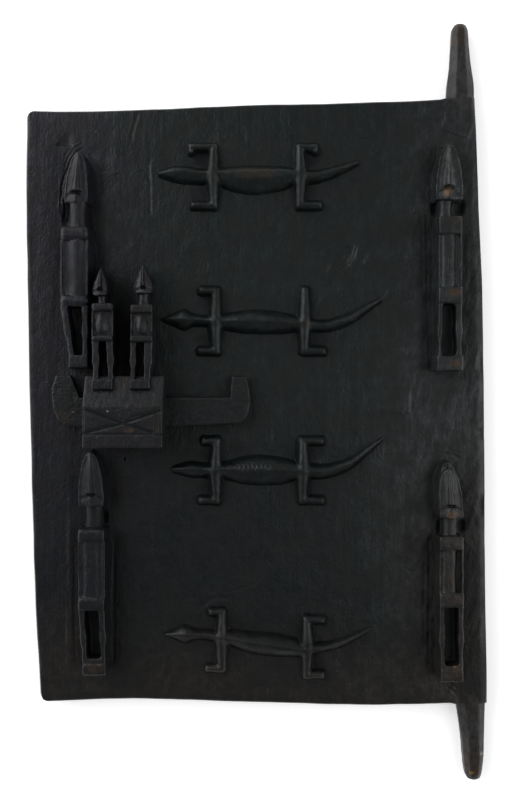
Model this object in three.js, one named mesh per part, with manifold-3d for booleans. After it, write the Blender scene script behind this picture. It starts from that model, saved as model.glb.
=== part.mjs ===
// Carved granary door: a leaf hewn from one plank, with pivot pegs, relief figures and lizards,
// and a wooden lock on its face whose bolt slides across.
//
// Units are millimetres. The door lies on its back: +X is across the leaf towards its pivots,
// +Y is up the door, +Z comes out of the carved face. The origin is under the middle of the leaf,
// on the plane of its back.

import * as THREE from 'three';
import { ParametricGeometry } from 'three/addons/geometries/ParametricGeometry.js';
import { mergeVertices } from 'three/addons/utils/BufferGeometryUtils.js';
import Module from 'manifold-3d';

const wasm = await Module();
wasm.setup();

// Driving dimensions of the leaf

const PLANK = 28;            // from the flat back to the cleared ground of the relief
const ROOT = 3;              // how far relief reaches into the plank, so that it joins it
const LEAF_HALF_HEIGHT = 457.8;
const EDGE_BEVEL = 3;
const TOP_CORNER = [-276, 350];       // where the two edges of a rounded corner would meet
const BOTTOM_CORNER = [-259.5, -360.2];
const HINGE_CHAMFER = { width: 7, depth: 6 };
const TOUCH_GAP = 0.3;       // between pieces that bear on each other
const LAP = 1;               // how far parts of one carving run into each other

// The leaf's four edges are hand cut and bow a little. Each is a smooth curve through a few places.
const LEFT_EDGE = [[-260.3, -348], [-266.8, -230], [-273, 0], [-276.4, 225], [-275.8, 338]];
const TOP_EDGE = [
  [-266, 349.6], [-213, 349], [-117, 351.8], [-9, 356.8], [51, 357.6], [172, 361.2], [226, 364],
];
const RIGHT_EDGE = [[262, 363], [265, 243], [270, 122], [272.4, -60], [273.6, -210], [276.2, -345]];
const BOTTOM_EDGE = [
  [274, -362.6], [172, -364.4], [112, -364.5], [-9, -361.2], [-117, -357.8], [-165, -357.4], [-248, -360.2],
];

// A pivot peg: its sides narrow from root to tip. Widths are across the leaf.
const PEGS = [
  {
    name: 'upper', rootY: 350, rootX: 245.2, rootWidth: 36,
    neckY: 405, neckX: 244.9, neckWidth: 27, tipX: 244.4,
  },
  {
    name: 'lower', rootY: -350, rootX: 256.6, rootWidth: 36,
    neckY: -405, neckX: 259.6, neckWidth: 26.4, tipX: 260.9,
  },
];
const PEG = { back: 0, front: 26.5, shoulder: 13, facet: 0.45, tipFlat: 0.35 };

// Standing figures on the leaf. Heights add up from the sole to the point of the head; x is the
// middle of the shoulders, and the offsets are the middles of the other parts from there.
const FIGURE_DEPTH = 36;
const FIGURE_SPREAD = 4.5;
const SLOT_BACKING = 0.3;    // the wood left between the legs, as a share of the figure's depth
// Shares of a figure's depth, and of the head's half width, that all the figures have in common.
const FIGURE_SHAPE = {
  sole: 0.96, leg: 0.9, arm: 0.93, armWidth: 2.6, chestBack: 0.5, chestFront: 0.94, neck: 0.82,
  apex: 0.66, underNose: 0.14, cheek: 0.66, chin: 0.4, browAtApex: 0.14, browAtNose: 0.38, hood: 0.6,
};
const FIGURES = [
  {
    name: 'upper left', x: -214, sole: 39.8,
    foot: 14.6, legs: 57.2, hips: 13.4, chest: 63.6, shoulders: 16.9, neck: 28.2, chin: 13.9, face: 45.5,
    width: 32, footWidth: 23, torsoWidth: 23, neckWidth: 18, headWidth: 27.5, legWidth: 7.5,
    footOffset: 4, torsoOffset: 2.2, headOffset: 1.2, apexOffset: 3.4,
  },
  {
    name: 'upper right', x: 224.5, sole: 36.2,
    foot: 17.6, legs: 61.3, hips: 18.7, chest: 61.8, shoulders: 21, neck: 21, chin: 15.8, face: 47.7,
    width: 31, footWidth: 31, torsoWidth: 18, neckWidth: 15, headWidth: 31, legWidth: 10,
    footOffset: 1, torsoOffset: -2.7, headOffset: -0.5, apexOffset: -3,
  },
  {
    name: 'lower left', x: -194, sole: -320,
    foot: 12.6, legs: 62.7, hips: 16.3, chest: 63.6, shoulders: 16.3, neck: 25.1, chin: 15.8, face: 49,
    width: 31, footWidth: 27, torsoWidth: 23, neckWidth: 15, headWidth: 30, legWidth: 7,
    footOffset: 3, torsoOffset: -1, headOffset: -0.2, apexOffset: -2.3,
  },
  {
    name: 'lower right', x: 227.3, sole: -327.9,
    foot: 14.6, legs: 72, hips: 17.5, chest: 49.6, shoulders: 16.3, neck: 21, chin: 15.8, face: 50.2,
    width: 29, footWidth: 26, torsoWidth: 19, neckWidth: 18.5, headWidth: 29, legWidth: 6.5,
    footOffset: 0.6, torsoOffset: -3, headOffset: 1.7, apexOffset: -2.3,
  },
];

// Lizards, snout to the left. x is the middle of the trunk and y its height on the leaf. The rises
// are how far the middle of the body lies above y at the head, neck, joints and tail; the tail's
// tip is given from x and y. Reaches are the limbs' ends above and below y, in front and behind.
const LIZARD_BACK = 16;
const LIZARDS = [
  {
    name: 'first', x: -2, y: 269.5,
    snout: 117, headAt: 95, headWidth: 19, headRise: 3.1, neckAt: 68, neckWidth: 18, neckRise: 0.5,
    trunk: 98, girth: 34, foreRise: 0, sag: 4, hindRise: -0.3,
    tail: [124, 17.5], rootRise: -0.6, rootWidth: 15, tailWidth: 13,
    foreX: -51, hindX: 54, foreReach: [39, 40], hindReach: [39, 40],
    foreFoot: [30, 27], hindFoot: [21, 26], limb: 13,
  },
  {
    name: 'second', x: 3, y: 95.5,
    snout: 117.5, headAt: 91, headWidth: 24.5, headRise: 2.6, neckAt: 69, neckWidth: 13, neckRise: 1.6,
    trunk: 94, girth: 28, foreRise: 0, sag: 0, hindRise: -2.5,
    tail: [145.5, 26.5], rootRise: -5, rootWidth: 13.5, tailWidth: 14.5,
    foreX: -53, hindX: 54, foreReach: [42, 40], hindReach: [42, 40],
    foreFoot: [20, 22], hindFoot: [6, 26], limb: 13.5,
  },
  {
    name: 'third', x: 5, y: -82.4,
    snout: 107.5, headAt: 86, headWidth: 18.5, headRise: 1, neckAt: 69, neckWidth: 17.5, neckRise: 0,
    trunk: 94, girth: 35.5, foreRise: 0, sag: 0, hindRise: -0.7,
    tail: [148, 40], rootRise: -1.5, rootWidth: 17, tailWidth: 14,
    foreX: -55, hindX: 50, foreReach: [40.3, 40.5], hindReach: [40.3, 40.5],
    foreFoot: [17, 21], hindFoot: [25, 26], limb: 13.5,
  },
  {
    name: 'fourth', x: 11, y: -286.9,
    snout: 120.5, headAt: 98, headWidth: 22.5, headRise: 8.2, neckAt: 75, neckWidth: 10, neckRise: 7.4,
    trunk: 98, girth: 27.5, foreRise: 5, sag: 4.8, hindRise: -10,
    tail: [126.4, 15], rootRise: -7, rootWidth: 12, tailWidth: 11,
    foreX: -54, hindX: 49, foreReach: [40.5, 36.5], hindReach: [31, 44.5],
    foreFoot: [16, 20], hindFoot: [22, 21], limb: 13,
  },
];

// The lock. Heights above the leaf's face are counted from the case's own back.
const CASE = {
  left: -201, right: -108, bottom: -53.5, shoulder: -6, top: 30.5, frontHeight: 60, topHeight: 38,
  strip: -37, grooveWidth: 2.4, bandWidth: 7,
};
const CHANNEL = { bottom: -31, top: 7.5, height: 19 };
const LOCK_FIGURE = { back: 8, depth: 40, sole: 1.1, hood: 0.9 };
const LOCK_FIGURES = [
  {
    name: 'left', x: -180.2, sole: 13.8,
    foot: 12.4, legs: 43.9, hips: 6.9, chest: 27.7, shoulders: 9.2, neck: 10.7, chin: 8, face: 22.8,
    width: 25.6, footWidth: 24, torsoWidth: 14, neckWidth: 9.5, headWidth: 17.5, legWidth: 7.4,
    footOffset: 1.4, torsoOffset: -1, headOffset: -3, apexOffset: -1.2,
  },
  {
    name: 'right', x: -133.7, sole: 14.6,
    foot: 11, legs: 43.3, hips: 8.1, chest: 25.4, shoulders: 10.4, neck: 14.4, chin: 7.5, face: 23.2,
    width: 26.4, footWidth: 23.5, torsoWidth: 14.5, neckWidth: 12, headWidth: 20.6, legWidth: 7.8,
    footOffset: -1.8, torsoOffset: -0.3, headOffset: 1.4, apexOffset: 1.2,
  },
];
const BOLT = {
  back: 1, thickness: 16, left: -243.5, right: -8, barTop: 4.9, barBottomLeft: -30, barBottomRight: -27,
  hornTop: 31.2, hornLean: 11.5, caseGap: 0.6, rightHornRoot: -32.5, bevel: 2,
};

// Solids

// Turns a three.js geometry into a solid: shared corners are merged, triangles that have closed
// up to a line are dropped, and the faces are turned outwards.
function solidFrom(geometry) {
  const bare = new THREE.BufferGeometry();
  bare.setAttribute('position', geometry.getAttribute('position'));
  if (geometry.index) bare.setIndex(geometry.index);
  const merged = mergeVertices(bare, 1e-4);
  const place = merged.getAttribute('position');
  const corner = [new THREE.Vector3(), new THREE.Vector3(), new THREE.Vector3()];
  const triangles = [];
  let volume = 0;
  for (let i = 0; i < merged.index.count; i += 3) {
    const [a, b, c] = [0, 1, 2].map((k) => merged.index.getX(i + k));
    if (a === b || b === c || c === a) continue;
    triangles.push(a, b, c);
    [a, b, c].forEach((index, k) => corner[k].fromBufferAttribute(place, index));
    volume += corner[0].dot(corner[1].cross(corner[2]));
  }
  if (volume < 0) {
    triangles.reverse();
  }
  return new wasm.Manifold(new wasm.Mesh({
    numProp: 3,
    vertProperties: Float32Array.from(place.array),
    triVerts: Uint32Array.from(triangles),
  }));
}

function joined(solids) {
  return solids.reduce((whole, solid) => whole.add(solid));
}

function geometryFrom(solid) {
  const mesh = solid.getMesh();
  const geometry = new THREE.BufferGeometry();
  geometry.setAttribute('position', new THREE.BufferAttribute(mesh.vertProperties, 3));
  geometry.setIndex(new THREE.BufferAttribute(mesh.triVerts, 1));
  geometry.computeVertexNormals();
  return geometry;
}

// Skins a row of rings, each an array of the same number of points, and closes both ends flat.
function loft(rings) {
  const around = rings[0].length;
  const centres = rings.map((ring) => ring
    .reduce((sum, point) => sum.add(point), new THREE.Vector3())
    .divideScalar(around));
  const stations = rings.length + 1;
  return solidFrom(new ParametricGeometry((u, v, target) => {
    const station = Math.round(v * stations);
    const step = Math.round(u * around) % around;
    if (station === 0) target.copy(centres[0]);
    else if (station === stations) target.copy(centres[rings.length - 1]);
    else target.copy(rings[station - 1][step]);
  }, around, stations));
}

// A block standing on the leaf, from corner to corner, whose sides spread towards its foot.
function block({ left, right, bottom, top, base, face, spread = 0 }) {
  const geometry = new THREE.BoxGeometry(right - left, top - bottom, face - base);
  geometry.translate((left + right) / 2, (bottom + top) / 2, (base + face) / 2);
  const place = geometry.getAttribute('position');
  for (let i = 0; i < place.count; i += 1) {
    const atFoot = place.getZ(i) < (base + face) / 2;
    const side = place.getX(i) > (left + right) / 2 ? 1 : -1;
    if (atFoot) place.setX(i, place.getX(i) + side * spread);
  }
  return solidFrom(geometry);
}

// A ring across the figure at one height: a back, two sides that lean in, and a flat brow.
function figureRing({ x, y, half, brow, base, side, face, spread }) {
  const outline = [
    [half + spread, base], [half, side], [brow, face], [-brow, face], [-half, side], [-half - spread, base],
  ];
  return outline.map(([dx, z]) => new THREE.Vector3(x + dx, y, z));
}

// The head: a tall pointed cone with a nose ridge that ends in an overhang above the chin.
function figureHead(size, chinY, base, depth, spread) {
  const shape = FIGURE_SHAPE;
  const height = size.chin + size.face;
  const noseAt = size.face / height;
  const steps = [0.03, 0.12, 0.3, 0.5, noseAt, noseAt + 0.03, 1];
  const rings = steps.map((t) => {
    const half = size.headWidth / 2 * t ** (size.hood ?? shape.hood);
    const belowNose = t > noseAt;
    const ridge = shape.apex + (1 - shape.apex) * Math.min(t / noseAt, 1) ** 0.8;
    const face = depth * (belowNose ? ridge - shape.underNose : ridge);
    const brow = belowNose ? shape.chin : THREE.MathUtils.lerp(shape.browAtApex, shape.browAtNose, t);
    return figureRing({
      x: size.x + THREE.MathUtils.lerp(size.apexOffset, size.headOffset, t),
      y: chinY + height * (1 - t),
      half,
      brow: half * brow,
      base,
      side: base + face * shape.cheek,
      face: base + face,
      spread: spread * t,
    });
  });
  return loft(rings);
}

// The chest: an upright half-round trunk that swells between shoulders and hips.
function figureTrunk(size, bottom, top, base, depth) {
  const x = size.x + size.torsoOffset;
  const steps = [0, 0.25, 0.5, 0.75, 1];
  const arc = [0, 0.2, 0.4, 0.6, 0.8, 1];
  const { chestBack, chestFront } = FIGURE_SHAPE;
  return loft(steps.map((t) => {
    const half = size.torsoWidth / 2 * (0.86 + 0.14 * Math.sin(Math.PI * t));
    return arc.map((a) => {
      const onBase = a === 0 || a === 1;
      const swell = THREE.MathUtils.lerp(chestBack, chestFront, Math.sin(Math.PI * a));
      return new THREE.Vector3(
        x + half * Math.cos(Math.PI * a),
        THREE.MathUtils.lerp(bottom, top, t),
        base + (onBase ? 0 : depth * swell),
      );
    });
  }));
}

// A leg: a thin upright bar that bends outward at the knee and in again to the foot.
function figureLeg(size, side, bottom, top, base, depth, spread) {
  const hip = size.width / 2 - size.legWidth / 2;
  const ankle = size.footOffset + side * Math.min(hip, size.footWidth / 2 - size.legWidth / 2);
  const bends = [
    { t: 0, x: ankle, width: 0.8 },
    { t: 0.4, x: (ankle + side * hip) / 2 + side * size.legWidth * 0.16, width: 0.95 },
    { t: 0.55, x: (ankle + side * hip) / 2, width: 0.8 },
    { t: 1, x: side * hip, width: 1 },
  ];
  return loft(bends.map(({ t, x, width }) => {
    const half = size.legWidth * width / 2;
    const foot = side * spread;
    return [
      [half + Math.max(foot, 0), 0], [half, depth], [-half, depth], [-half + Math.min(foot, 0), 0],
    ].map(([dx, z]) => new THREE.Vector3(size.x + x + dx, THREE.MathUtils.lerp(bottom, top, t), base + z));
  }));
}

// One standing figure, from its base plane (where it meets the wood or ends behind) outwards.
function figure(size, base, depth, spread, backing) {
  const footTop = size.sole + size.foot;
  const hipBottom = footTop + size.legs;
  const hipTop = hipBottom + size.hips;
  const chestTop = hipTop + size.chest;
  const neckBottom = chestTop + size.shoulders;
  const neckTop = neckBottom + size.neck;
  const bar = (bottom, top, half, offset, face) => block({
    left: size.x + offset - half,
    right: size.x + offset + half,
    bottom,
    top,
    base,
    face: base + face,
    spread,
  });
  const shape = FIGURE_SHAPE;
  const arms = [-1, 1].map((side) => {
    const middle = size.x + side * (size.width - shape.armWidth) / 2;
    return block({
      left: middle - shape.armWidth / 2,
      right: middle + shape.armWidth / 2,
      bottom: hipTop - LAP,
      top: chestTop + LAP,
      base,
      face: base + depth * shape.arm,
    });
  });
  return joined([
    bar(size.sole, footTop, size.footWidth / 2, size.footOffset, depth * (size.soleDepth ?? shape.sole)),
    figureLeg(size, -1, footTop - LAP, hipBottom + LAP, base, depth * shape.leg, spread),
    figureLeg(size, 1, footTop - LAP, hipBottom + LAP, base, depth * shape.leg, spread),
    ...(backing > 0 ? [bar(footTop - LAP, hipBottom + LAP, size.width / 2 - LAP, 0, depth * backing)] : []),
    bar(hipBottom, hipTop, size.width / 2, 0, depth),
    bar(hipTop - LAP, chestTop + LAP, size.width / 2, 0, depth * shape.chestBack),
    ...arms,
    figureTrunk(size, hipTop - LAP, chestTop + LAP, base, depth),
    bar(chestTop, neckBottom, size.width / 2, 0, depth),
    bar(neckBottom - LAP, neckTop + LAP, size.neckWidth / 2, size.headOffset * 0.6, depth * shape.neck),
    figureHead(size, neckTop, base, depth, spread),
  ]);
}

// A half-round ring across a lizard: wood below, back above.
function lizardRing(x, y, half, height) {
  const arc = [0, 0.18, 0.36, 0.5, 0.64, 0.82, 1];
  const back = arc.map((a) => [half * Math.cos(Math.PI * a), height * Math.sin(Math.PI * a) ** 0.8]);
  const outline = [[half, -ROOT], ...back, [-half, -ROOT]];
  return outline.map(([dy, z]) => new THREE.Vector3(x, y + dy, PLANK + z));
}

// Snout, head, neck, trunk and tail in one sweep along the lizard.
function lizardBody(size) {
  const end = size.trunk / 2;
  const [tailX, tailY] = size.tail;
  const bend = tailX * 0.72;
  const { foreRise, hindRise, rootRise, sag, girth } = size;
  const rise = tailY - rootRise;
  const jointHalf = 4 + girth * 0.1;
  const stations = [
    { x: -size.snout, y: size.headRise, half: 2, height: 5 },
    { x: -size.headAt, y: size.headRise, half: size.headWidth / 2, height: 11 },
    { x: -size.neckAt, y: size.neckRise, half: size.neckWidth / 2, height: 11 },
    { x: -end, y: foreRise, half: jointHalf, height: 13 },
    { x: -end * 0.45, y: foreRise * 0.55 - sag * 0.8, half: girth * 0.43, height: LIZARD_BACK },
    { x: 0, y: foreRise * 0.2 - sag, half: girth / 2, height: LIZARD_BACK },
    { x: end * 0.55, y: hindRise * 0.4 - sag * 0.6, half: girth * 0.4, height: LIZARD_BACK - 1 },
    { x: end, y: hindRise, half: jointHalf, height: 13 },
    { x: (end + bend) / 2, y: rootRise, half: size.rootWidth / 2, height: 11 },
    { x: bend, y: rootRise + rise * 0.24, half: size.tailWidth / 2, height: 9 },
    { x: (bend + tailX) / 2, y: rootRise + rise * 0.62, half: size.tailWidth * 0.39, height: 7 },
    { x: tailX, y: tailY, half: 1.6, height: 4 },
  ];
  const smooth = (key) => new THREE.CatmullRomCurve3(
    stations.map((station) => new THREE.Vector3(station.x, station[key], 0)), false, 'centripetal');
  const spine = smooth('y');
  const halves = smooth('half');
  const heights = smooth('height');
  const steps = (stations.length - 1) * 2;
  const rings = [];
  for (let i = 0; i <= steps; i += 1) {
    const t = i / steps;
    const middle = spine.getPoint(t);
    const half = Math.max(halves.getPoint(t).y, 0.6);
    rings.push(lizardRing(size.x + middle.x, size.y + middle.y, half, Math.max(heights.getPoint(t).y, 2)));
  }
  return loft(rings);
}

// A limb: a bar straight out of the body that turns a corner into a foot.
function lizardLimb(size, x, up, reach, foot) {
  const way = up ? 1 : -1;
  const half = size.limb / 2;
  const toe = size.limb * 0.78;
  const lean = Math.sign(foot) * 1.5;
  const limb = new THREE.Shape();
  limb.moveTo(x - half, 0);
  limb.lineTo(x + half, 0);
  limb.lineTo(x + half * 0.9 - lean, way * (reach - toe * 0.4));
  limb.quadraticCurveTo(x + half * 0.85 - lean, way * reach, x + half * 0.5 - lean, way * reach);
  limb.lineTo(x - half * 0.9 - lean, way * reach);
  limb.closePath();
  const depth = LIZARD_BACK * 0.72;
  const thick = { depth: depth + ROOT, bevelEnabled: false, curveSegments: 3 };
  const bar = new THREE.ExtrudeGeometry(limb, thick);
  bar.translate(size.x, size.y, PLANK - ROOT);
  const heel = size.x + x - lean - Math.sign(foot) * half * 0.8;
  const end = size.x + x + foot;
  const parts = [solidFrom(bar)];
  if (Math.abs(foot) > half + 2) {
    const sole = size.y + way * reach;
    parts.push(block({
      left: Math.min(heel, end), right: Math.max(heel, end), bottom: Math.min(sole, sole - way * toe),
      top: Math.max(sole, sole - way * toe), base: PLANK - ROOT, face: PLANK + depth - 1.5, spread: 0.6,
    }));
  }
  return joined(parts);
}

function lizard(size) {
  return joined([
    lizardBody(size),
    lizardLimb(size, size.foreX, true, size.foreReach[0], -size.foreFoot[0]),
    lizardLimb(size, size.foreX, false, size.foreReach[1], -size.foreFoot[1]),
    lizardLimb(size, size.hindX, true, size.hindReach[0], size.hindFoot[0]),
    lizardLimb(size, size.hindX, false, size.hindReach[1], size.hindFoot[1]),
  ]);
}

// The leaf

function panel() {
  const outline = new THREE.Shape();
  const along = (edge) => outline.splineThru(edge.map(([x, y]) => new THREE.Vector2(x, y)));
  outline.moveTo(...LEFT_EDGE[0]);
  along(LEFT_EDGE.slice(1));
  outline.quadraticCurveTo(...TOP_CORNER, ...TOP_EDGE[0]);
  along(TOP_EDGE.slice(1));
  outline.lineTo(...RIGHT_EDGE[0]);
  along(RIGHT_EDGE.slice(1));
  outline.lineTo(...BOTTOM_EDGE[0]);
  along(BOTTOM_EDGE.slice(1));
  outline.quadraticCurveTo(...BOTTOM_CORNER, ...LEFT_EDGE[0]);
  const slab = new THREE.ExtrudeGeometry(outline, {
    depth: PLANK - 2 * EDGE_BEVEL,
    bevelThickness: EDGE_BEVEL,
    bevelSize: EDGE_BEVEL,
    bevelOffset: -EDGE_BEVEL,
    bevelSegments: 1,
    curveSegments: 2,
  });
  slab.translate(0, 0, EDGE_BEVEL);
  return solidFrom(slab);
}

// A pivot peg: eight-sided, flat behind, narrowing to a blunt rounded tip.
function peg(size) {
  const way = Math.sign(size.rootY);
  const tipY = way * LEAF_HALF_HEIGHT;
  const shoulderY = tipY - way * PEG.shoulder;
  const stations = [
    { y: size.rootY, x: size.rootX, width: size.rootWidth, scale: 1 },
    { y: size.neckY, x: size.neckX, width: size.neckWidth, scale: 0.94 },
    { y: shoulderY, x: size.tipX, width: size.neckWidth * 0.8, scale: 0.85 },
    { y: tipY - way * PEG.shoulder * 0.4, x: size.tipX, width: size.neckWidth * 0.68, scale: 0.7 },
    { y: tipY, x: size.tipX, width: size.neckWidth * PEG.tipFlat, scale: PEG.tipFlat },
  ];
  const middle = (PEG.back + PEG.front) / 2;
  return loft(stations.map(({ y, x, width, scale }) => {
    const half = width / 2;
    const deep = (PEG.front - PEG.back) / 2 * scale;
    const cut = PEG.facet;
    const outline = [
      [half, -deep * cut], [half, deep * cut], [half * cut, deep], [-half * cut, deep],
      [-half, deep * cut], [-half, -deep * cut], [-half * cut, -deep], [half * cut, -deep],
    ];
    return outline.map(([dx, dz]) => new THREE.Vector3(x + dx, y, middle + dz));
  }));
}

// The long chamfer down the pivot side of the carved face.
function hingeChamfer() {
  const [topX, topY] = RIGHT_EDGE[0];
  const [bottomX, bottomY] = RIGHT_EDGE[RIGHT_EDGE.length - 1];
  const { width, depth } = HINGE_CHAMFER;
  const past = 30;
  const ring = (x, y) => [
    [x - width, PLANK], [x + past, PLANK - depth * (1 + past / width)],
    [x + past, PLANK + past], [x - width, PLANK + past],
  ].map(([px, pz]) => new THREE.Vector3(px, y, pz));
  return loft([ring(bottomX, bottomY - past), ring(topX, topY + past)]);
}

function doorLeaf() {
  const plank = panel().subtract(hingeChamfer());
  const pegs = PEGS.map(peg);
  const figures = FIGURES.map((size) => figure(
    size, PLANK - ROOT, FIGURE_DEPTH + ROOT, FIGURE_SPREAD, SLOT_BACKING));
  return joined([plank, ...pegs, ...figures, ...LIZARDS.map(lizard)]);
}

// The lock

// A groove with a V section from one place on the case's front to another.
function groove(fromX, fromY, toX, toY, faceZ) {
  const from = new THREE.Vector2(fromX, fromY);
  const to = new THREE.Vector2(toX, toY);
  const run = to.clone().sub(from);
  const cutter = new THREE.BoxGeometry(run.length(), CASE.grooveWidth, CASE.grooveWidth);
  cutter.rotateX(Math.PI / 4);
  cutter.rotateZ(run.angle());
  cutter.translate((fromX + toX) / 2, (fromY + toY) / 2, faceZ);
  return solidFrom(cutter);
}

function caseBlock(back) {
  const side = new THREE.Shape();
  side.moveTo(CASE.bottom, back);
  side.lineTo(CASE.bottom, back + CASE.frontHeight);
  side.lineTo(CASE.shoulder, back + CASE.frontHeight);
  side.lineTo(CASE.top, back + CASE.topHeight);
  side.lineTo(CASE.top, back);
  side.closePath();
  const body = new THREE.ExtrudeGeometry(side, { depth: CASE.right - CASE.left, bevelEnabled: false });
  // The profile is drawn as (height on the door, height off the leaf) and is swept across the door.
  body.applyMatrix4(new THREE.Matrix4().makeBasis(
    new THREE.Vector3(0, 1, 0), new THREE.Vector3(0, 0, 1), new THREE.Vector3(1, 0, 0)));
  body.translate(CASE.left, 0, 0);
  return solidFrom(body);
}

function lockCase() {
  const back = PLANK + TOUCH_GAP;
  const front = back + CASE.frontHeight;
  const past = 5;
  const bandLeft = CASE.right - CASE.bandWidth;
  const channel = block({
    left: CASE.left - past, right: CASE.right + past, bottom: CHANNEL.bottom, top: CHANNEL.top,
    base: back - past, face: back + CHANNEL.height,
  });
  const cuts = [
    groove(CASE.left - past, CASE.shoulder, bandLeft, CASE.strip, front),
    groove(CASE.left - past, CASE.strip, CASE.right, CASE.shoulder, front),
    groove(CASE.left - past, CASE.strip, CASE.right + past, CASE.strip, front),
    groove(bandLeft, CASE.strip, bandLeft, CASE.shoulder, front),
  ];
  const shape = { soleDepth: LOCK_FIGURE.sole, hood: LOCK_FIGURE.hood };
  const figures = LOCK_FIGURES.map((size) => figure(
    { ...size, ...shape }, back + LOCK_FIGURE.back, LOCK_FIGURE.depth, 0, 0));
  return joined([caseBlock(back), ...figures]).subtract(joined([channel, ...cuts]));
}

// The bolt: a flat bar whose two ends turn up into horns, bevelled all round its face.
function lockBolt() {
  const inner = CASE.left - BOLT.caseGap;
  const outline = new THREE.Shape();
  outline.moveTo(inner, BOLT.barBottomLeft);
  outline.lineTo(BOLT.right - 12, BOLT.barBottomRight);
  outline.quadraticCurveTo(BOLT.right, BOLT.barBottomRight + 2, BOLT.right, -2);
  outline.quadraticCurveTo(BOLT.right, 14, BOLT.right - 3.5, BOLT.hornTop - 2);
  outline.lineTo(BOLT.rightHornRoot + 3.5, BOLT.hornTop - 2.5);
  outline.lineTo(BOLT.rightHornRoot, BOLT.barTop);
  outline.lineTo(inner, BOLT.barTop);
  outline.lineTo(inner - BOLT.hornLean, BOLT.hornTop);
  outline.lineTo(BOLT.left + 6, BOLT.hornTop);
  outline.quadraticCurveTo(BOLT.left - 2, 14, BOLT.left, -2);
  outline.quadraticCurveTo(BOLT.left + 3, BOLT.barBottomLeft + 2, inner - 20, BOLT.barBottomLeft);
  outline.closePath();
  const bar = new THREE.ExtrudeGeometry(outline, {
    depth: BOLT.thickness - 2 * BOLT.bevel,
    bevelThickness: BOLT.bevel,
    bevelSize: BOLT.bevel,
    bevelOffset: -BOLT.bevel,
    bevelSegments: 1,
    curveSegments: 4,
  });
  bar.translate(0, 0, PLANK + BOLT.back + BOLT.bevel);
  return solidFrom(bar);
}

// Assembly

function darkWood(color, roughness) {
  return new THREE.MeshStandardMaterial({ color, roughness, metalness: 0 });
}

function piece(name, solid, material) {
  const mesh = new THREE.Mesh(geometryFrom(solid), material);
  mesh.name = name;
  return mesh;
}

const door = new THREE.Group();
door.add(
  piece('door_leaf', doorLeaf(), darkWood(0x2a2827, 0.62)),
  piece('lock_case', lockCase(), darkWood(0x2f2f2f, 0.58)),
  piece('lock_bolt', lockBolt(), darkWood(0x2b2c2d, 0.6)),
);

export default door;
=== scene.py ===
# Carved granary door: the finished surfaces of the leaf, its lock case and the bolt.
#
# Each piece is carved as a field of distances in millimetres, which is negative inside the wood.
# The field is skinned into one closed mesh in metres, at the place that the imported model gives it.
# Places are in the door's own frame: X across the leaf, Y up it, Z out of the carved face.

import math
import sys

import bpy
import numpy as np
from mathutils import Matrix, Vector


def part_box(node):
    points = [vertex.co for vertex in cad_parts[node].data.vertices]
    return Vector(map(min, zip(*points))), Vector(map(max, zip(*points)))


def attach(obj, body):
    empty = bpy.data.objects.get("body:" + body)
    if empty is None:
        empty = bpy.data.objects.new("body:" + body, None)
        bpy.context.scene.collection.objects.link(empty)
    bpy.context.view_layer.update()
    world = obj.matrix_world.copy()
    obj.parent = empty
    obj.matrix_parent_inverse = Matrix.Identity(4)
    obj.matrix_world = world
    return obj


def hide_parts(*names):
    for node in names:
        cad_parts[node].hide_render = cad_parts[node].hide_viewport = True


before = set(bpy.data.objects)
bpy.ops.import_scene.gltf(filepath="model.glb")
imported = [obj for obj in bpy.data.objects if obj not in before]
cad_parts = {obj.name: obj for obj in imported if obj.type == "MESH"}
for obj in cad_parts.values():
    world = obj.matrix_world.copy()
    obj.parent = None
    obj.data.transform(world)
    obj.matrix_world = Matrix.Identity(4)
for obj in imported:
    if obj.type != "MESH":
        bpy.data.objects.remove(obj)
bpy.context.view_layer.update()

MM = 0.001

# Places taken from the frame

LEAF_LOW, LEAF_HIGH = (np.array(corner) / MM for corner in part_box("door_leaf"))
CASE_LOW, CASE_HIGH = (np.array(corner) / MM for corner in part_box("lock_case"))
BOLT_LOW, BOLT_HIGH = (np.array(corner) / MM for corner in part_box("lock_bolt"))

FIGURE_DEPTH = 36.0
PLANK = LEAF_HIGH[2] - FIGURE_DEPTH
ROOT = 3.0

# Noise

LATTICE = 32
LATTICE_SHIFT = 7.31
LATTICES = {}


def lattice(seed):
    if seed not in LATTICES:
        values = np.random.RandomState(seed).rand(LATTICE, LATTICE, LATTICE)
        LATTICES[seed] = values.astype(np.float32) * 2 - 1
    return LATTICES[seed]


def noise(x, y, z, scale, seed=1):
    """Smooth noise between -1 and 1; scale is the size of its bumps in mm, or one for each axis."""
    table = lattice(seed)
    scales = scale if isinstance(scale, tuple) else (scale,) * 3
    cells = []
    blends = []
    for value, size in zip((x, y, z), scales):
        place = np.asarray(value, dtype=np.float32) / size + LATTICE_SHIFT
        low = np.floor(place)
        part = place - low
        cells.append(low.astype(np.int32) % LATTICE)
        blends.append(part * part * (3 - 2 * part))
    total = 0.0
    for i in (0, 1):
        weight_x = blends[0] if i else 1 - blends[0]
        for j in (0, 1):
            weight_y = blends[1] if j else 1 - blends[1]
            for k in (0, 1):
                weight_z = blends[2] if k else 1 - blends[2]
                corner = ((cells[0] + i) % LATTICE, (cells[1] + j) % LATTICE, (cells[2] + k) % LATTICE)
                total = total + weight_x * weight_y * weight_z * table[corner]
    return total


def ramp(value, low, high):
    """0 below low, 1 above high and a smooth rise between."""
    t = np.clip((value - low) / (high - low), 0, 1)
    return t * t * (3 - 2 * t)


def bump(value, middle, width):
    """A bell of height 1 about middle."""
    return np.exp(-((value - middle) / width) ** 2)


# Fields of distance

def join(a, b, soft=1.0):
    """The union of two forms, with a fillet of about soft mm where they meet."""
    blend = np.maximum(soft - np.abs(a - b), 0) / soft
    return np.minimum(a, b) - blend * blend * soft / 4


def meet(a, b, soft=1.0):
    """What two forms share, with the arris between them worn round by about soft mm."""
    blend = np.maximum(soft - np.abs(a - b), 0) / soft
    return np.maximum(a, b) + blend * blend * soft / 4


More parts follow.
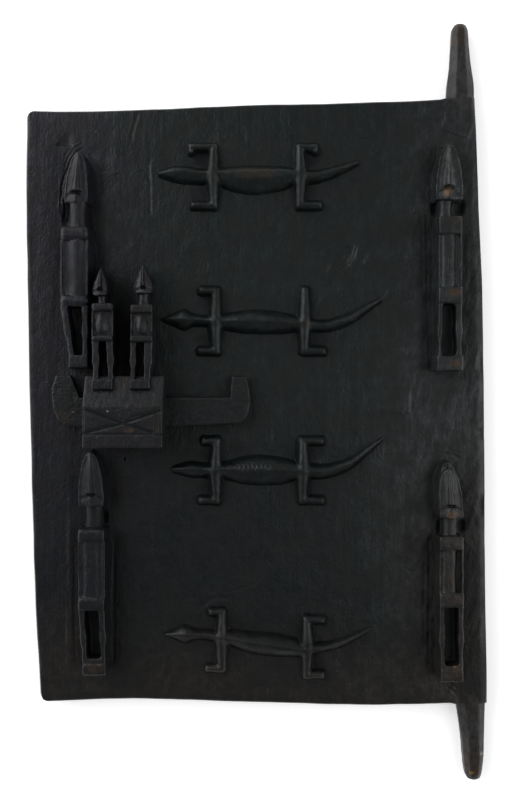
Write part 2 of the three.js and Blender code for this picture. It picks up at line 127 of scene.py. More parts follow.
def rounded(a, b, radius):
    """What two forms share, with a quarter round of that radius between them."""
    past_a, past_b = a + radius, b + radius
    corner = np.hypot(np.maximum(past_a, 0), np.maximum(past_b, 0))
    return np.minimum(np.maximum(past_a, past_b), 0) + corner - radius


def cut(a, b, soft=1.0):
    """The first form less the second."""
    return meet(a, -b, soft)


def between(value, low, high):
    """Distance outside the stretch from low to high along one axis."""
    return np.abs(value - (low + high) / 2) - (high - low) / 2


def segment(x, y, a, b):
    """Distance in the plane from the stretch a to b, and how far along it the nearest place is."""
    dx, dy = b[0] - a[0], b[1] - a[1]
    t = np.clip(((x - a[0]) * dx + (y - a[1]) * dy) / (dx * dx + dy * dy), 0, 1)
    return np.hypot(x - a[0] - t * dx, y - a[1] - t * dy), t


def polyline(x, y, points):
    """Distance in the plane from a line through points, and how far along it that is, 0 to 1."""
    best = along = None
    for i, (a, b) in enumerate(zip(points[:-1], points[1:])):
        away, t = segment(x, y, a, b)
        t = (i + t) / (len(points) - 1)
        along = t if best is None else np.where(away < best, t, along)
        best = away if best is None else np.minimum(best, away)
    return best, along


def smooth_row(stations, count=120):
    """A smooth curve through rows of values, sampled evenly between each two."""
    rows = np.array(stations, float)
    ends = np.vstack([2 * rows[0] - rows[1], rows, 2 * rows[-1] - rows[-2]])
    out = []
    for i in range(len(rows) - 1):
        a, b, c, d = ends[i:i + 4]
        t = np.linspace(0, 1, count // len(rows), endpoint=False)[:, None]
        out.append(0.5 * (2 * b + (c - a) * t + (2 * a - 5 * b + 4 * c - d) * t ** 2
                          + (3 * b - a - 3 * c + d) * t ** 3))
    return np.vstack(out + [rows[-1:]])


# Skins and meshes

def skin(field, origin, step):
    """A net of four-sided faces round the inside of a field of values on a grid."""
    inside = field < 0
    shape = tuple(n - 1 for n in field.shape)
    total = np.zeros(shape + (3,), np.float32)
    count = np.zeros(shape, np.int32)

    def window(array, offset):
        return array[tuple(slice(o, o + n) for o, n in zip(offset, shape))]

    for a in np.ndindex(2, 2, 2):
        for axis in range(3):
            if a[axis]:
                continue
            b = tuple(v + (i == axis) for i, v in enumerate(a))
            start, end = window(field, a), window(field, b)
            crossing = window(inside, a) != window(inside, b)
            t = np.where(crossing, start / np.where(crossing, start - end, 1), 0)
            for i in range(3):
                total[..., i] += np.where(crossing, a[i] + (t if i == axis else 0), 0)
            count += crossing
    active = count > 0
    index = np.full(shape, -1, np.int64)
    index[active] = np.arange(active.sum())
    verts = (np.argwhere(active) + total[active] / count[active][:, None]) * step + origin
    faces = []
    for axis in range(3):
        b, c = (axis + 1) % 3, (axis + 2) % 3
        low = [slice(1, -1)] * 3
        high = [slice(1, -1)] * 3
        low[axis] = slice(0, -1)
        high[axis] = slice(1, None)
        first = inside[tuple(low)]
        crossing = first != inside[tuple(high)]
        start = [1, 1, 1]
        start[axis] = 0
        edge = np.argwhere(crossing) + start
        ring = []
        for db, dc in ((0, 0), (-1, 0), (-1, -1), (0, -1)):
            cell = edge.copy()
            cell[:, b] += db
            cell[:, c] += dc
            ring.append(index[tuple(cell.T)])
        quads = np.stack(ring, axis=1)
        flip = ~first[crossing]
        quads[flip] = quads[flip][:, ::-1]
        faces.append(quads)
    return verts, np.concatenate(faces)


def mesh_from(name, verts, faces):
    """A mesh in metres from places in mm."""
    mesh = bpy.data.meshes.new(name)
    mesh.from_pydata((verts * MM).tolist(), [], faces.tolist())
    mesh.update()
    return mesh


def pinched(faces):
    """The corners of the edges that don't have exactly two faces."""
    edges = np.sort(np.stack([faces, np.roll(faces, -1, axis=1)], axis=2).reshape(-1, 2), axis=1)
    pairs, count = np.unique(edges, axis=0, return_counts=True)
    return np.unique(pairs[count != 2])


def carve(name, field_at, low, high, step):
    """An object round the inside of a field in a box. Where two sheets of its skin pinch together
    the field is smoothed, until the skin closes."""
    low = np.array(low, float)
    counts = np.ceil((np.array(high) - low) / step).astype(int) + 1
    axes = [low[i] + step * np.arange(counts[i], dtype=np.float32) for i in range(3)]
    places = (axes[0][:, None, None], axes[1][None, :, None], axes[2][None, None, :])
    field = np.broadcast_to(field_at(*places), tuple(counts)).astype(np.float32)
    for attempt in range(12):
        verts, faces = skin(field, low, step)
        bad = pinched(faces)
        if not len(bad):
            return add_object(mesh_from(name, verts, faces))
        reach = 2 + attempt // 4
        for cell in np.floor((verts[bad] - low) / step).astype(int):
            window = tuple(slice(max(i - reach, 1), i + reach + 1) for i in cell)
            patch = field[window]
            blurred = sum(np.roll(patch, shift, axis) for axis in range(3) for shift in (-1, 1)) / 6
            inner = tuple(slice(1, -1) for _ in range(3))
            patch[inner] = 0.5 * patch[inner] + 0.5 * blurred[inner]
    sys.exit(f"{name} doesn't close")


def add_object(mesh):
    piece = bpy.data.objects.new(mesh.name, mesh)
    bpy.context.scene.collection.objects.link(piece)
    return piece


def apply_modifiers(piece):
    depsgraph = bpy.context.evaluated_depsgraph_get()
    mesh = bpy.data.meshes.new_from_object(piece.evaluated_get(depsgraph))
    piece.modifiers.clear()
    old = piece.data
    piece.data = mesh
    mesh.name = piece.name
    bpy.data.meshes.remove(old)


def unite(piece, others):
    """Joins the others to the piece as one solid."""
    for other in others:
        modifier = piece.modifiers.new("unite", "BOOLEAN")
        modifier.operation = "UNION"
        modifier.solver = "MANIFOLD"
        modifier.object = other
    apply_modifiers(piece)
    for other in others:
        mesh = other.data
        bpy.data.objects.remove(other)
        bpy.data.meshes.remove(mesh)


def thin_out(piece, triangles):
    """Takes triangles from where the surface is flattest until the piece has about that many."""
    now = sum(len(face.vertices) - 2 for face in piece.data.polygons)
    if now <= triangles:
        return
    modifier = piece.modifiers.new("thin", "DECIMATE")
    modifier.ratio = triangles / now
    modifier.use_collapse_triangulate = True
    apply_modifiers(piece)


# Standing figures. Heights add up from the sole to the point of the head; x is the middle of the
# shoulders, and the offsets are the middles of the other parts from there.

FIGURES = {
    "upper_left": dict(
        x=-214, sole=39.8,
        foot=14.6, legs=57.2, hips=13.4, chest=63.6, shoulders=16.9, neck=28.2, chin=13.9, face=45.5,
        width=32, foot_width=22, torso_width=25, neck_width=20, head_width=26.8, leg_width=7.5, nose=6.4,
        foot_offset=4.8, torso_offset=2.4, neck_offset=2.6, head_offset=0.4, apex_offset=3.4,
        bar_round=6.6, bar_end=5.0, slot_round=2.5, torso_flat=0.0, chest_back=0.86, spread=4.0,
        hood_spread=2.6, neck_front=0.8,
    ),
    "upper_right": dict(
        x=226, sole=36.2,
        foot=17.6, legs=61.3, hips=18.7, chest=61.8, shoulders=21, neck=21, chin=15.8, face=50.2,
        width=27.5, foot_width=30, torso_width=21, neck_width=15, head_width=31.6, leg_width=6.0, nose=6.2,
        foot_offset=-0.4, torso_offset=-2.6, neck_offset=-4.0, head_offset=0.4, apex_offset=-0.4,
        bar_round=2.4, bar_end=1.8, slot_round=6.0, torso_flat=0.25, chest_back=0.84, spread=1.4,
        hood_spread=1.2, slot_offset=-1.2, slot_floor=0.36, slit=True, beard=True,
    ),
    "lower_left": dict(
        x=-194, sole=-320,
        foot=12.6, legs=62.7, hips=16.3, chest=63.6, shoulders=16.3, neck=25.1, chin=15.8, face=48.4,
        width=31, foot_width=27, torso_width=26, neck_width=21, head_width=30, leg_width=7, nose=4.9,
        foot_offset=3, torso_offset=-0.6, neck_offset=-0.2, head_offset=-1.2, apex_offset=-2.6,
        bar_round=5.2, bar_end=3.0, slot_round=3.5, torso_flat=0.3, chest_back=0.91, spread=1.4,
        hood_spread=1.6, slot_gap=6.5, roof=0.09, neck_front=0.52,
    ),
    "lower_right": dict(
        x=227.3, sole=-327.9,
        foot=14.6, legs=72, hips=17.5, chest=49.6, shoulders=16.3, neck=21, chin=15.8, face=49.6,
        width=28, foot_width=26, torso_width=19, neck_width=17, head_width=29, leg_width=5.8, nose=5.2,
        foot_offset=0.6, torso_offset=-3, neck_offset=0.4, head_offset=1.7, apex_offset=-2.3,
        bar_round=2.6, bar_end=2.0, slot_round=4.0, torso_flat=0.3, chest_back=0.76, spread=1.2,
        hood_spread=1.2, slot_gap=4.0, slot_floor=0.3, brow=0.12, beard=True,
    ),
}


FIGURE_FILLET = 1.2
SLOT_FLOOR = 0.18


def levels(size):
    """Heights above the sole of the tops of a figure's parts."""
    total = 0.0
    found = {}
    for part in ("foot", "legs", "hips", "chest", "shoulders", "neck", "chin", "face"):
        total += size[part]
        found[part] = total
    return found


def hood_outline(size, down):
    """Half the head's width, as a share: a gothic arch, or for the lock's figures a drop."""
    if size.get("drop_head"):
        return np.sin(math.pi / 2 * np.minimum(down / 0.9, 1)) ** 1.25 * (1 - 0.30 * ramp(down, 0.9, 1.0))
    return np.sqrt(1 - (1 - down) ** 2.1) * (1 - 0.05 * ramp(down, 0.85, 1.0))


def head_field(u, v, w, size, depth, flare, bottom, top):
    """A pointed hood with a fine rim, two hollow cheeks and a nose that widens downwards."""
    down = np.clip((top - v) / (top - bottom), 0, 1)
    middle = size["apex_offset"] + (size["head_offset"] - size["apex_offset"]) * down
    across = np.abs(u - middle)
    arch = hood_outline(size, down)
    half = size["head_width"] / 2 * arch
    side = np.hypot(np.maximum(across - half, 0), np.maximum(v - top, 0))
    side = np.where(across > half, side, across - half) - flare

    # The cheeks fall like a roof from the nose's line, and rise again at the rim.
    to_nose = np.clip(down * (top - bottom) / size["face"], 0, 1)
    out = np.clip(across / np.maximum(half, 1), 0, 1)
    crest = depth * (0.73 + 0.12 * to_nose ** 0.8)
    if size.get("brow"):
        inner = hood_outline(size, np.clip(2 * (down - size["brow"]), 0, 1)) * size["head_width"] / 2
        crest = crest * (0.76 + 0.24 * ramp(inner + 0.8 - across, -1.0, 1.4))
    roof = size.get("roof", 0.14)
    cheek = crest - roof * depth * arch * out ** 0.85 + 0.032 * depth * ramp(out, 0.84, 0.95)

    # The nose is a wedge on them that ends in an overhang.
    wing = 0.9 + (size["nose"] - 0.9) * to_nose ** 1.25
    bridge = 0.10 * depth * to_nose ** 0.7 * np.clip(2.1 * (1.02 - across / wing), 0, 1)
    bridge = bridge + 0.018 * depth * to_nose * np.clip(1 - across / wing, 0, 1)
    under = bottom + size["chin"] - v
    on_nose = ramp(-under, -0.5, 0.7)
    # Below it a chevron runs down to the corners of the jaw, over a small square chin.
    chevron = under - 0.42 * across
    jaw = -0.022 * depth * ramp(chevron, -0.8, 1.2) + 0.02 * depth * ramp(chevron, 1.5, size["chin"] * 0.5)
    nostril = 0.085 * depth * bump(under, 1.6, 1.6) * ramp(size["nose"] + 0.4 - across, 0, 1.4)
    front = w - (cheek + bridge * on_nose + jaw - nostril)
    hood = meet(side * 0.85, front * 0.8, 1.2)
    hood = meet(hood, bottom - v, 2.0)
    if not size.get("beard"):
        return hood
    chin = rounded(across - size["nose"] * 0.8, w - 0.78 * depth, 2.0)
    chin = meet(chin, between(v, bottom, bottom + size["chin"] * 0.5), 1.8)
    return join(hood, chin, 2.6)


def round_trunk(u, v, w, size, depth, bottom, top):
    """The leaf figures' chest: a column, flattened in front on some, with a slit in one of them."""
    radius = size["torso_width"] / 2
    across = u - size["torso_offset"]
    fall = np.clip((top - v) / (top - bottom), 0, 1)
    waist = 1 - 0.07 * np.sin(math.pi * fall)
    flat = size["torso_flat"] * radius
    beside = np.maximum(np.abs(across) / waist - flat, 0)
    column = np.hypot(beside, np.maximum(w - (0.95 * depth - radius + flat), 0)) - (radius - flat)
    if size.get("slit"):
        away, _ = segment(across, v - bottom, (2.4, 23), (1.8, 33))
        column = column + 1.6 * np.exp(-(away / 1.1) ** 2)
    return column


def drop_trunk(u, v, w, size, depth, bottom, top):
    """The lock figures' chest: a drop with its point at the neck."""
    fall = np.clip((top - v) / (top - bottom), 0, 1)
    swell = np.sqrt(np.clip(np.sin(math.pi * (0.06 + 0.86 * fall ** 1.2)), 0.03, 1))
    radius = size["torso_width"] / 2 * (0.42 + 0.58 * swell)
    front = depth * (0.80 + 0.13 * swell)
    across = u - size["torso_offset"]
    return np.hypot(across, np.maximum(w - (front - radius), 0) * 0.85) - radius


def figure_field(x, y, z, size, base, depth, seed):
    """A standing figure carved from base up; its spread is how much wider it is at its root."""
    wander = 0.5 * noise(x, y, z, 26, seed) + 0.22 * noise(x, y, z, 9, seed + 1)
    u = x - size["x"] + wander
    v = y - size["sole"] + 0.6 * noise(x, y, z, 17, seed + 2)
    w = z - base
    root = 1 - np.clip(w / depth, 0, 1)
    fillet = size.get("fillet", FIGURE_FILLET) * np.clip(1 - (w + 1.5) / 8, 0, 1) ** 3
    flare = size["spread"] * root + fillet
    level = levels(size)
    half = size["width"] / 2
    foot_top, hip_low, hip_top = level["foot"], level["legs"], level["hips"]
    chest_top, neck_low, neck_top = level["chest"], level["shoulders"], level["neck"]

    def bar(low, high, half_width, offset, front, radius=1.5, end=1.5, lean=1.0):
        side = np.abs(u - offset) - half_width - flare * lean
        section = rounded(between(v, low, high), w - front, radius)
        return rounded(side, section, end)

    foot = bar(0, foot_top, size["foot_width"] / 2, size["foot_offset"], size.get("foot_front", 0.95) * depth)
    hips = bar(hip_low, hip_top, half, 0, depth, size["bar_round"], size["bar_end"])
    shoulders = bar(chest_top, neck_low, half, 0, depth, size["bar_round"], size["bar_end"])

    # Legs: one block whose outside swings in and out at the knee, with a deep slot through it.
    down = np.clip((hip_low - v) / (hip_low - foot_top), 0, 1)
    middle = size["foot_offset"] * down
    narrow = half + (min(size["foot_width"] / 2, half) - half) * down
    knee = bump(down, 0.52, 0.13) - 0.7 * bump(down, 0.74, 0.12)
    leg_span = between(v, foot_top, hip_low)
    outside = np.abs(u - middle) - narrow - 1.1 * knee - flare
    inside = narrow - size["leg_width"] * (1 - 0.2 * down) - 0.6 * knee
    slot_span = between(v, foot_top + size.get("slot_gap", 0), hip_low)
    slot = meet(np.abs(u - middle - size.get("slot_offset", 0)) - inside, slot_span, size["slot_round"])
    slot = meet(slot, size.get("slot_floor", SLOT_FLOOR) * depth - w, 2.0)
    legs = meet(rounded(outside, w - 0.92 * depth, 2.0), leg_span - 1, 0.5)
    legs = cut(legs, slot, 1.2)

    chest_span = between(v, hip_top - 1, chest_top + 1)
    backing = meet(np.abs(u) - half - flare, meet(chest_span, w - size["chest_back"] * depth))
    if size.get("drop_chest"):
        trunk = drop_trunk(u, v, w, size, depth, hip_top, chest_top)
    else:
        trunk = round_trunk(u, v, w, size, depth, hip_top, chest_top)
    trunk = meet(trunk, chest_span, 0.3)
    arm = size.get("arm", 2.6)
    arms = np.abs(np.abs(u) - (half - arm / 2)) - arm / 2 - 0.15 * flare
    arms = meet(arms, meet(chest_span, w - 0.92 * depth), 1.0)
    throat = bump(v, (neck_low + neck_top) / 2, size["neck"] * 0.45)
    neck = rounded(np.abs(u - size["neck_offset"]) - size["neck_width"] / 2 + 0.8 * throat,
                   w - size.get("neck_front", 0.66) * depth, size["neck_width"] * 0.42)
    neck = meet(neck, between(v, neck_low - 1, neck_top + 1), 0.5)
    head = head_field(u, v, w, size, depth, size["hood_spread"] * root + fillet, neck_top, level["face"])

    whole = join(foot, legs, 0.8)
    for part in (hips, backing, trunk, arms, shoulders, neck, head):
        whole = join(whole, part, 0.9)
    return whole + 0.17 * noise(x, y, z, 4.5, seed + 3) + 0.10 * noise(x, y, z, (2.2, 9, 6), seed + 4)


def carve_figure(name, size, base, depth, seed, root, step):
    """A figure whose foot and back reach down by root mm into what it stands on."""
    spread = max(size["spread"], size["hood_spread"]) + FIGURE_FILLET
    half = max(size["width"], size["head_width"]) / 2 + spread + 6
    low = (size["x"] - half, size["sole"] - 4, base - root - 3 * step)
    high = (size["x"] + half, size["sole"] + levels(size)["face"] + spread + 4, base + depth + 4)

    def field_at(x, y, z):
        return meet(figure_field(x, y, z, size, base, depth, seed), base - root - z, 0.2)
    return carve(name, field_at, low, high, step)


# Lizards, snout to the left. x is the middle of the trunk and y its height on the leaf. The rises
# are how far the middle of the body lies above y at the head, neck, joints and tail; the tail's tip
# is given from x and y. Reaches are the limbs' ends above and below y, and each foot is given by
# how far it points along the body.

LIZARD_BACK = 16.0
LIZARD_FILLET = 1.2
BACK_POWER = 1.55        # 2 is a half round, less has a ridge
LIZARDS = {
    "first": dict(
        x=-2, y=269.5,
        snout=117, head_at=95, head_width=19, head_rise=3.1, neck_at=68, neck_width=19, neck_rise=0.5,
        trunk=98, girth=34, fore_rise=0, sag=4, hind_rise=-0.3, ridge=0.34, blunt=2.4,
        tail=(124, 17.5), root_rise=-0.6, root_width=15, tail_width=13, tip=2.6,
        fore_x=-51, hind_x=54, fore_reach=(39, 40), hind_reach=(39, 40),
        fore_feet=(-30, -27), hind_feet=(21, 26), limb=13.4, hooks=(4.5, 3.0),
    ),
    "second": dict(
        x=3, y=95.5,
        snout=117.5, head_at=91, head_width=24.5, head_rise=2.6, neck_at=69, neck_width=13, neck_rise=1.6,
        trunk=94, girth=28, fore_rise=0, sag=0, hind_rise=-2.5, ridge=0.1, blunt=1.2, arrow=True,
        tail=(145.5, 26.5), root_rise=-5, root_width=13.5, tail_width=14.5, tip=2.4, hatch=(-3, 4, 3.2),
        fore_x=-53, hind_x=54, fore_reach=(42, 40), hind_reach=(42, 40),
        fore_feet=(-20, -22), hind_feet=(0, 26), limb=14.0,
    ),
    "third": dict(
        x=5, y=-82.4,
        snout=107.5, head_at=86, head_width=18.5, head_rise=1, neck_at=69, neck_width=17.5, neck_rise=0,
        trunk=94, girth=35.5, fore_rise=0, sag=0, hind_rise=-0.7, ridge=0.16, blunt=3.4,
        tail=(148, 40), root_rise=-1.5, root_width=17, tail_width=14, tip=1.6, hatch=(-32, 14, 5.2),
        fore_x=-55, hind_x=50, fore_reach=(40.3, 40.5), hind_reach=(40.3, 40.5),
        fore_feet=(-17, -21), hind_feet=(25, 26), limb=13.8,
    ),
    "fourth": dict(
        x=11, y=-286.9,
        snout=120.5, head_at=98, head_width=23, head_rise=8.2, neck_at=75, neck_width=13, neck_rise=7.4,
        trunk=98, girth=27.5, fore_rise=5, sag=4.8, hind_rise=-10, ridge=0.15, blunt=2.0, arrow=True,
        tail=(126.4, 15), root_rise=-7, root_width=12, tail_width=11, tip=1.6,
        fore_x=-54, hind_x=49, fore_reach=(40.5, 36.5), hind_reach=(31, 44.5),
        fore_feet=(-16, -20), hind_feet=(22, 21), limb=13.4,
    ),
}


def lizard_stations(size):
    """Place along, place across, half width and height of the body, from snout to tail."""
    end = size["trunk"] / 2
    tail_x, tail_y = size["tail"]
    bend = tail_x * 0.72
    root, rise = size["root_rise"], size["tail"][1] - size["root_rise"]
    girth, fore, hind, sag = size["girth"], size["fore_rise"], size["hind_rise"], size["sag"]
    joint_half = 5.6 + girth * 0.12
    swell = girth / 2 - joint_half
    head, neck = size["head_width"] / 2, size["neck_width"] / 2
    cheeks = []
    if size.get("arrow"):
        # An arrowhead: straight from the snout to the cheeks, and quickly in to the neck
        middle = (size["snout"] + size["head_at"]) / 2
        behind = size["head_at"] * 0.5 + size["neck_at"] * 0.5
        cheeks = [(-middle, size["head_rise"], (size["blunt"] + head) / 2, 8.5),
                  (-behind, (size["head_rise"] + size["neck_rise"]) / 2, neck * 1.15, 11)]
    return smooth_row(sorted([
        (-size["snout"], size["head_rise"], size["blunt"], 5.0),
        (-size["head_at"], size["head_rise"], head, 11.5),
        (-size["neck_at"], size["neck_rise"], neck, 11.5),
        (-end, fore, joint_half, 13.5),
        (-end * 0.45, fore * 0.55 - sag * 0.8, joint_half + swell * 0.8, LIZARD_BACK),
        (0, fore * 0.2 - sag, girth / 2, LIZARD_BACK),
        (end * 0.55, hind * 0.4 - sag * 0.6, joint_half + swell * 0.7, LIZARD_BACK - 1),
        (end, hind, joint_half, 13.5),
        ((end + bend) / 2, root, size["root_width"] / 2, 11.5),
        (bend, root + rise * 0.24, size["tail_width"] / 2, 9.5),
        ((bend + tail_x) / 2, root + rise * 0.62, size["tail_width"] * 0.39, 7.5),
        (tail_x, tail_y, size["tip"], 4),
    ] + cheeks))


def limb_field(x, y, z, size, joint_x, way, reach, foot, hook):
    """A leg and its foot as a rounded bar that turns a corner; way is 1 up and -1 down."""
    toe = size["limb"] * 0.68
    heel = (joint_x - 1.0 * np.sign(foot), way * (reach - toe / 2))
    shank, along = segment(x, y, (joint_x, 0), heel)
    bar = shank - size["limb"] / 2 * (1.06 - 0.34 * along)
    if foot:
        tip = joint_x + np.sign(foot) * (abs(foot) - toe * 0.4)
        sole, _ = segment(x, y, heel, (tip, way * (reach - toe * 0.50)))
        bar = join(bar, sole - toe / 2, 2.0)
        if hook and way > 0:
            claw, _ = segment(x, y, (tip, reach - toe * 0.6), (tip, reach - toe * 0.6 - hook))
            bar = join(bar, claw - toe * 0.38, 1.5)
        bar = meet(bar, np.sign(foot) * (x - joint_x) - abs(foot), 1.5)
    bar = meet(bar, way * y - reach, 1.5)
    height = LIZARD_BACK * (0.86 - 0.2 * ramp(way * y, 0, reach))
    lean = 0.24 * (z - height * 0.6) - LIZARD_FILLET * np.clip(1 - (z + 1) / 4, 0, 1) ** 2
    return rounded(bar + lean, (z - height) * 0.95, 5.0)


def lizard_field(x, y, z, size, seed):
    along = x - size["x"]
    across = y - size["y"] + 0.5 * noise(x, y, z, 19, seed)
    up = z - PLANK
    rows = lizard_stations(size)
    spine, half, height = (np.interp(along, rows[:, 0], rows[:, i]) for i in (1, 2, 3))
    half = np.maximum(half, 0.6) + LIZARD_FILLET * np.clip(1 - (up + 1) / 4, 0, 1) ** 2
    height = np.maximum(height, 2)
    ridge = size["ridge"] * half
    off = across - spine - ridge
    off = np.abs(off) / np.where(off > 0, half - ridge, half + ridge)
    round_back = (off ** BACK_POWER + (np.maximum(up, 0) / height) ** BACK_POWER) ** (1 / BACK_POWER)
    body = (round_back - 1) * np.minimum(half, height) * 0.85
    body = meet(body, np.maximum(rows[0, 0] - along, along - rows[-1, 0]), 1.0)
    if size.get("hatch"):
        start, stop, pitch = size["hatch"]
        row = ramp(along, start - 1, start + 1) * ramp(stop - along, -1, 1)
        notch = np.maximum(np.cos(2 * math.pi * (along - start + 0.15 * across) / pitch), 0) ** 2
        body = body + 0.8 * row * notch * bump(across - spine - ridge, 0, 5.5)
    whole = body
    for pair, hook in zip(("fore", "hind"), size.get("hooks", (0, 0))):
        for way, reach, foot in zip((1, -1), size[pair + "_reach"], size[pair + "_feet"]):
            limb = limb_field(along, across, up, size, size[pair + "_x"], way, reach, foot, hook)
            whole = join(whole, limb, 1.8)
    whole = meet(whole, -ROOT - up, 0.1)
    whole = whole + 0.28 * noise(x, y, z, (11, 7, 9), seed + 3)
    return whole + 0.2 * noise(x, y, z, 4.0, seed + 1) + 0.14 * noise(x, y, z, (14, 3.5, 6), seed + 2)


def carve_lizard(name, size, seed, step):
    (fore_up, fore_down), (hind_up, hind_down) = size["fore_reach"], size["hind_reach"]
    low = (size["x"] - size["snout"] - 7, size["y"] - max(fore_down, hind_down) - 7, PLANK - ROOT - 3 * step)
    high = (size["x"] + size["tail"][0] + 7, size["y"] + max(fore_up, hind_up) + 7, PLANK + LIZARD_BACK + 4)
    return carve(name, lambda x, y, z: lizard_field(x, y, z, size, seed), low, high, step)


# The leaf's panel: hand-cut edges, each a smooth curve through a few places

LEFT_EDGE = [(-260.6, -348), (-267.2, -230), (-273.5, 0), (-277.5, 232), (-276.8, 338)]
RIGHT_EDGE = [(276.4, -345), (274, -210), (273.2, -60), (271, 122), (266.2, 243), (262, 363)]
TOP_EDGE = [(-268, 349.6), (-213, 349), (-117, 351.8), (-9, 356.8), (51, 357.6), (172, 361.2), (226, 364)]
BOTTOM_EDGE = [
    (-250, -360.3), (-165, -357.4), (-117, -357.8), (-9, -361.2), (112, -364.7), (172, -364.6),
    (230, -362.9), (274, -362.6),
]
CORNER = 9.5
FRONT_ROUND = 3.4
BACK_ROUND = 2.0
CHAMFER_WIDTH, CHAMFER_DEPTH = 7.0, 3.0

# Knife and adze cuts on the carved face: a line, its width and its depth
CUTS = {
    "beside the first lizard": ([(-130.5, 289), (-128.9, 262), (-128.5, 224)], 1.2, 1.1),
    "under the top edge": ([(-143, 347), (-148, 330), (-152, 312)], 1.6, 0.9),
    "fan by the first hood 1": ([(-209, 305), (-217, 300), (-224.5, 289), (-229.5, 273)], 0.9, 0.9),
    "fan by the first hood 2": ([(-209.5, 310), (-219, 305), (-228, 292), (-232, 278)], 0.8, 0.8),
    "fan by the first hood 3": ([(-211, 314), (-221, 309), (-230, 297), (-234, 284)], 0.7, 0.6),
    "left of the first hood": ([(-230, 276), (-234, 262), (-236, 243), (-235.5, 222)], 1.0, 1.3),
    "right of the first hood": ([(-202, 299), (-193, 285), (-188, 266), (-187, 246)], 2.2, 0.6),
    "first neck 1": ([(-233, 246), (-231, 232), (-233.5, 216)], 0.9, 1.3),
    "first neck 2": ([(-228.5, 240), (-226.5, 228), (-229.5, 213)], 0.8, 1.1),
    "crescent above the second tail": ([(119.7, 190.3), (115.5, 174), (107, 163), (96.9, 159.1)], 1.8, 0.9),
    "crescent's neighbour": ([(131, 178), (130, 170), (126, 165)], 1.1, 0.8),
    "short crescent": ([(87, 168), (85, 161), (81, 156)], 1.1, 0.7),
    "end of the second tail": ([(150, 121), (159, 133)], 1.3, 0.6),
    "upright cut": ([(184.5, 37), (184.2, 10), (184.8, -17)], 1.1, 0.6),
    "above the fourth lizard": ([(-36, -229.5), (-22, -225), (-3.9, -219.3)], 1.2, 0.4),
    "over its foot": ([(-66, -246), (-58, -238), (-46, -234.5), (-34, -237)], 2.6, 0.6),
    "above the last hood": ([(224, -62), (236, -64), (246, -70)], 1.3, 0.6),
    "above it again": ([(228, -58), (243, -62)], 1.0, 0.4),
    "under the last foot": ([(227.7, -342.5), (233, -345), (237.3, -349.7)], 1.1, 1.0),
    "under it again": ([(231, -339), (240, -344)], 0.9, 0.8),
    "left of the third figure": ([(-219.5, -172), (-219.5, -250), (-217.5, -330)], 1.1, 0.4),
    "left of it again": ([(-226, -215), (-226, -290)], 0.9, 0.5),
    "right of the third figure": ([(-171, -165), (-173, -240), (-172, -318)], 1.6, 0.45),
    "right of it again": ([(-166, -250), (-167, -312)], 0.9, 0.4),
    "left of the second figure": ([(203, 232), (204, 170), (203, 96)], 1.3, 0.4),
    "left of it twice": ([(198, 218), (199, 150), (200, 70)], 1.0, 0.4),
    "left of the last figure": ([(207, -162), (206, -250), (205, -345)], 1.3, 0.4),
    "left of it too": ([(200, -190), (200.5, -300)], 1.0, 0.5),
}
# Shallow steps: a line, the rise on its left as it runs, and how far that reaches
STEPS = {
    "under the second figure": ([(186.9, 39.1), (249.3, 39.1)], 0.9, 16.0),
    "right of the upright cut": ([(184.5, -17), (184.5, 37)], 0.8, 20.0),
    "under the upper peg": ([(219, 327), (238, 322), (255, 315)], 1.1, 26.0),
    "left strip": ([(-226, -100), (-229, -330)], 0.6, 18.0),
}
# Flakes gone from the pivot edge: middle, half width, half height and depth
CHIPS = {
    "upper": ((271, 47), (8, 17), 3.0),
    "middle": ((276, -38), (14, 8), 3.2),
    "lower": ((277, -127), (15, 17), 3.6),
}
WEDGE = dict(left=-242, right=-224, top=326, bottom=307.5, depth=2.6)
# Pits cut beside the necks: middle, half width, half height
PITS = {
    "first neck": ((-229, 226), (5, 15)),
    "second neck, left": ((214.4, 232), (5, 9)),
    "second neck, right": ((242.5, 232.5), (6, 8.5)),
    "shade on the third neck, right": ((-184, -138.5), (4, 7)),
    "last neck, left": ((220, -150.5), (4, 8)),
    "last neck, right": ((244.5, -149), (4.6, 7.5)),
}
PIT_DEPTH = 4.0
HOLE = dict(x=-158.7, y=-68.9, radius=1.7, depth=2.6)


def edge_curve(points, along):
    """One of the leaf's edges as a function: of height for the sides, of width for the others."""
    rows = smooth_row(points)
    if along == "y":
        rows = rows[:, ::-1]
    slope_low = (rows[1, 1] - rows[0, 1]) / (rows[1, 0] - rows[0, 0])
    slope_high = (rows[-1, 1] - rows[-2, 1]) / (rows[-1, 0] - rows[-2, 0])

    def at(value):
        inner = np.interp(value, rows[:, 0], rows[:, 1])
        below = np.minimum(value - rows[0, 0], 0) * slope_low
        above = np.maximum(value - rows[-1, 0], 0) * slope_high
        return inner + below + above
    return at


left_at = edge_curve(LEFT_EDGE, "y")
right_at = edge_curve(RIGHT_EDGE, "y")
top_at = edge_curve(TOP_EDGE, "x")
bottom_at = edge_curve(BOTTOM_EDGE, "x")


def adze_marks(x, y, length, width, depth, seed):
    """Shallow overlapping scoops, hollow in their middles, with ridges where they meet."""
    rng = np.random.RandomState(seed)
    left, low = -300, -390
    columns, rows = int(600 / width), int(780 / length)
    shift = rng.rand(columns, rows, 3)
    column = np.floor((x - left) / width).astype(int)
    row = np.floor((y - low) / length).astype(int)
    best = np.full(np.shape(x), 9.0)
    for i in (-1, 0, 1):
        for j in (-1, 0, 1):
            jitter = shift[np.clip(column + i, 0, columns - 1), np.clip(row + j, 0, rows - 1)]
            middle_x = (column + i + 0.2 + 0.6 * jitter[..., 0]) * width + left
            middle_y = (row + j + 0.2 + 0.6 * jitter[..., 1]) * length + low
            scoop = ((x - middle_x) / width) ** 2 + ((y - middle_y) / length) ** 2
            best = np.minimum(best, scoop + 0.5 * jitter[..., 2])
    return depth * (best - 0.5)


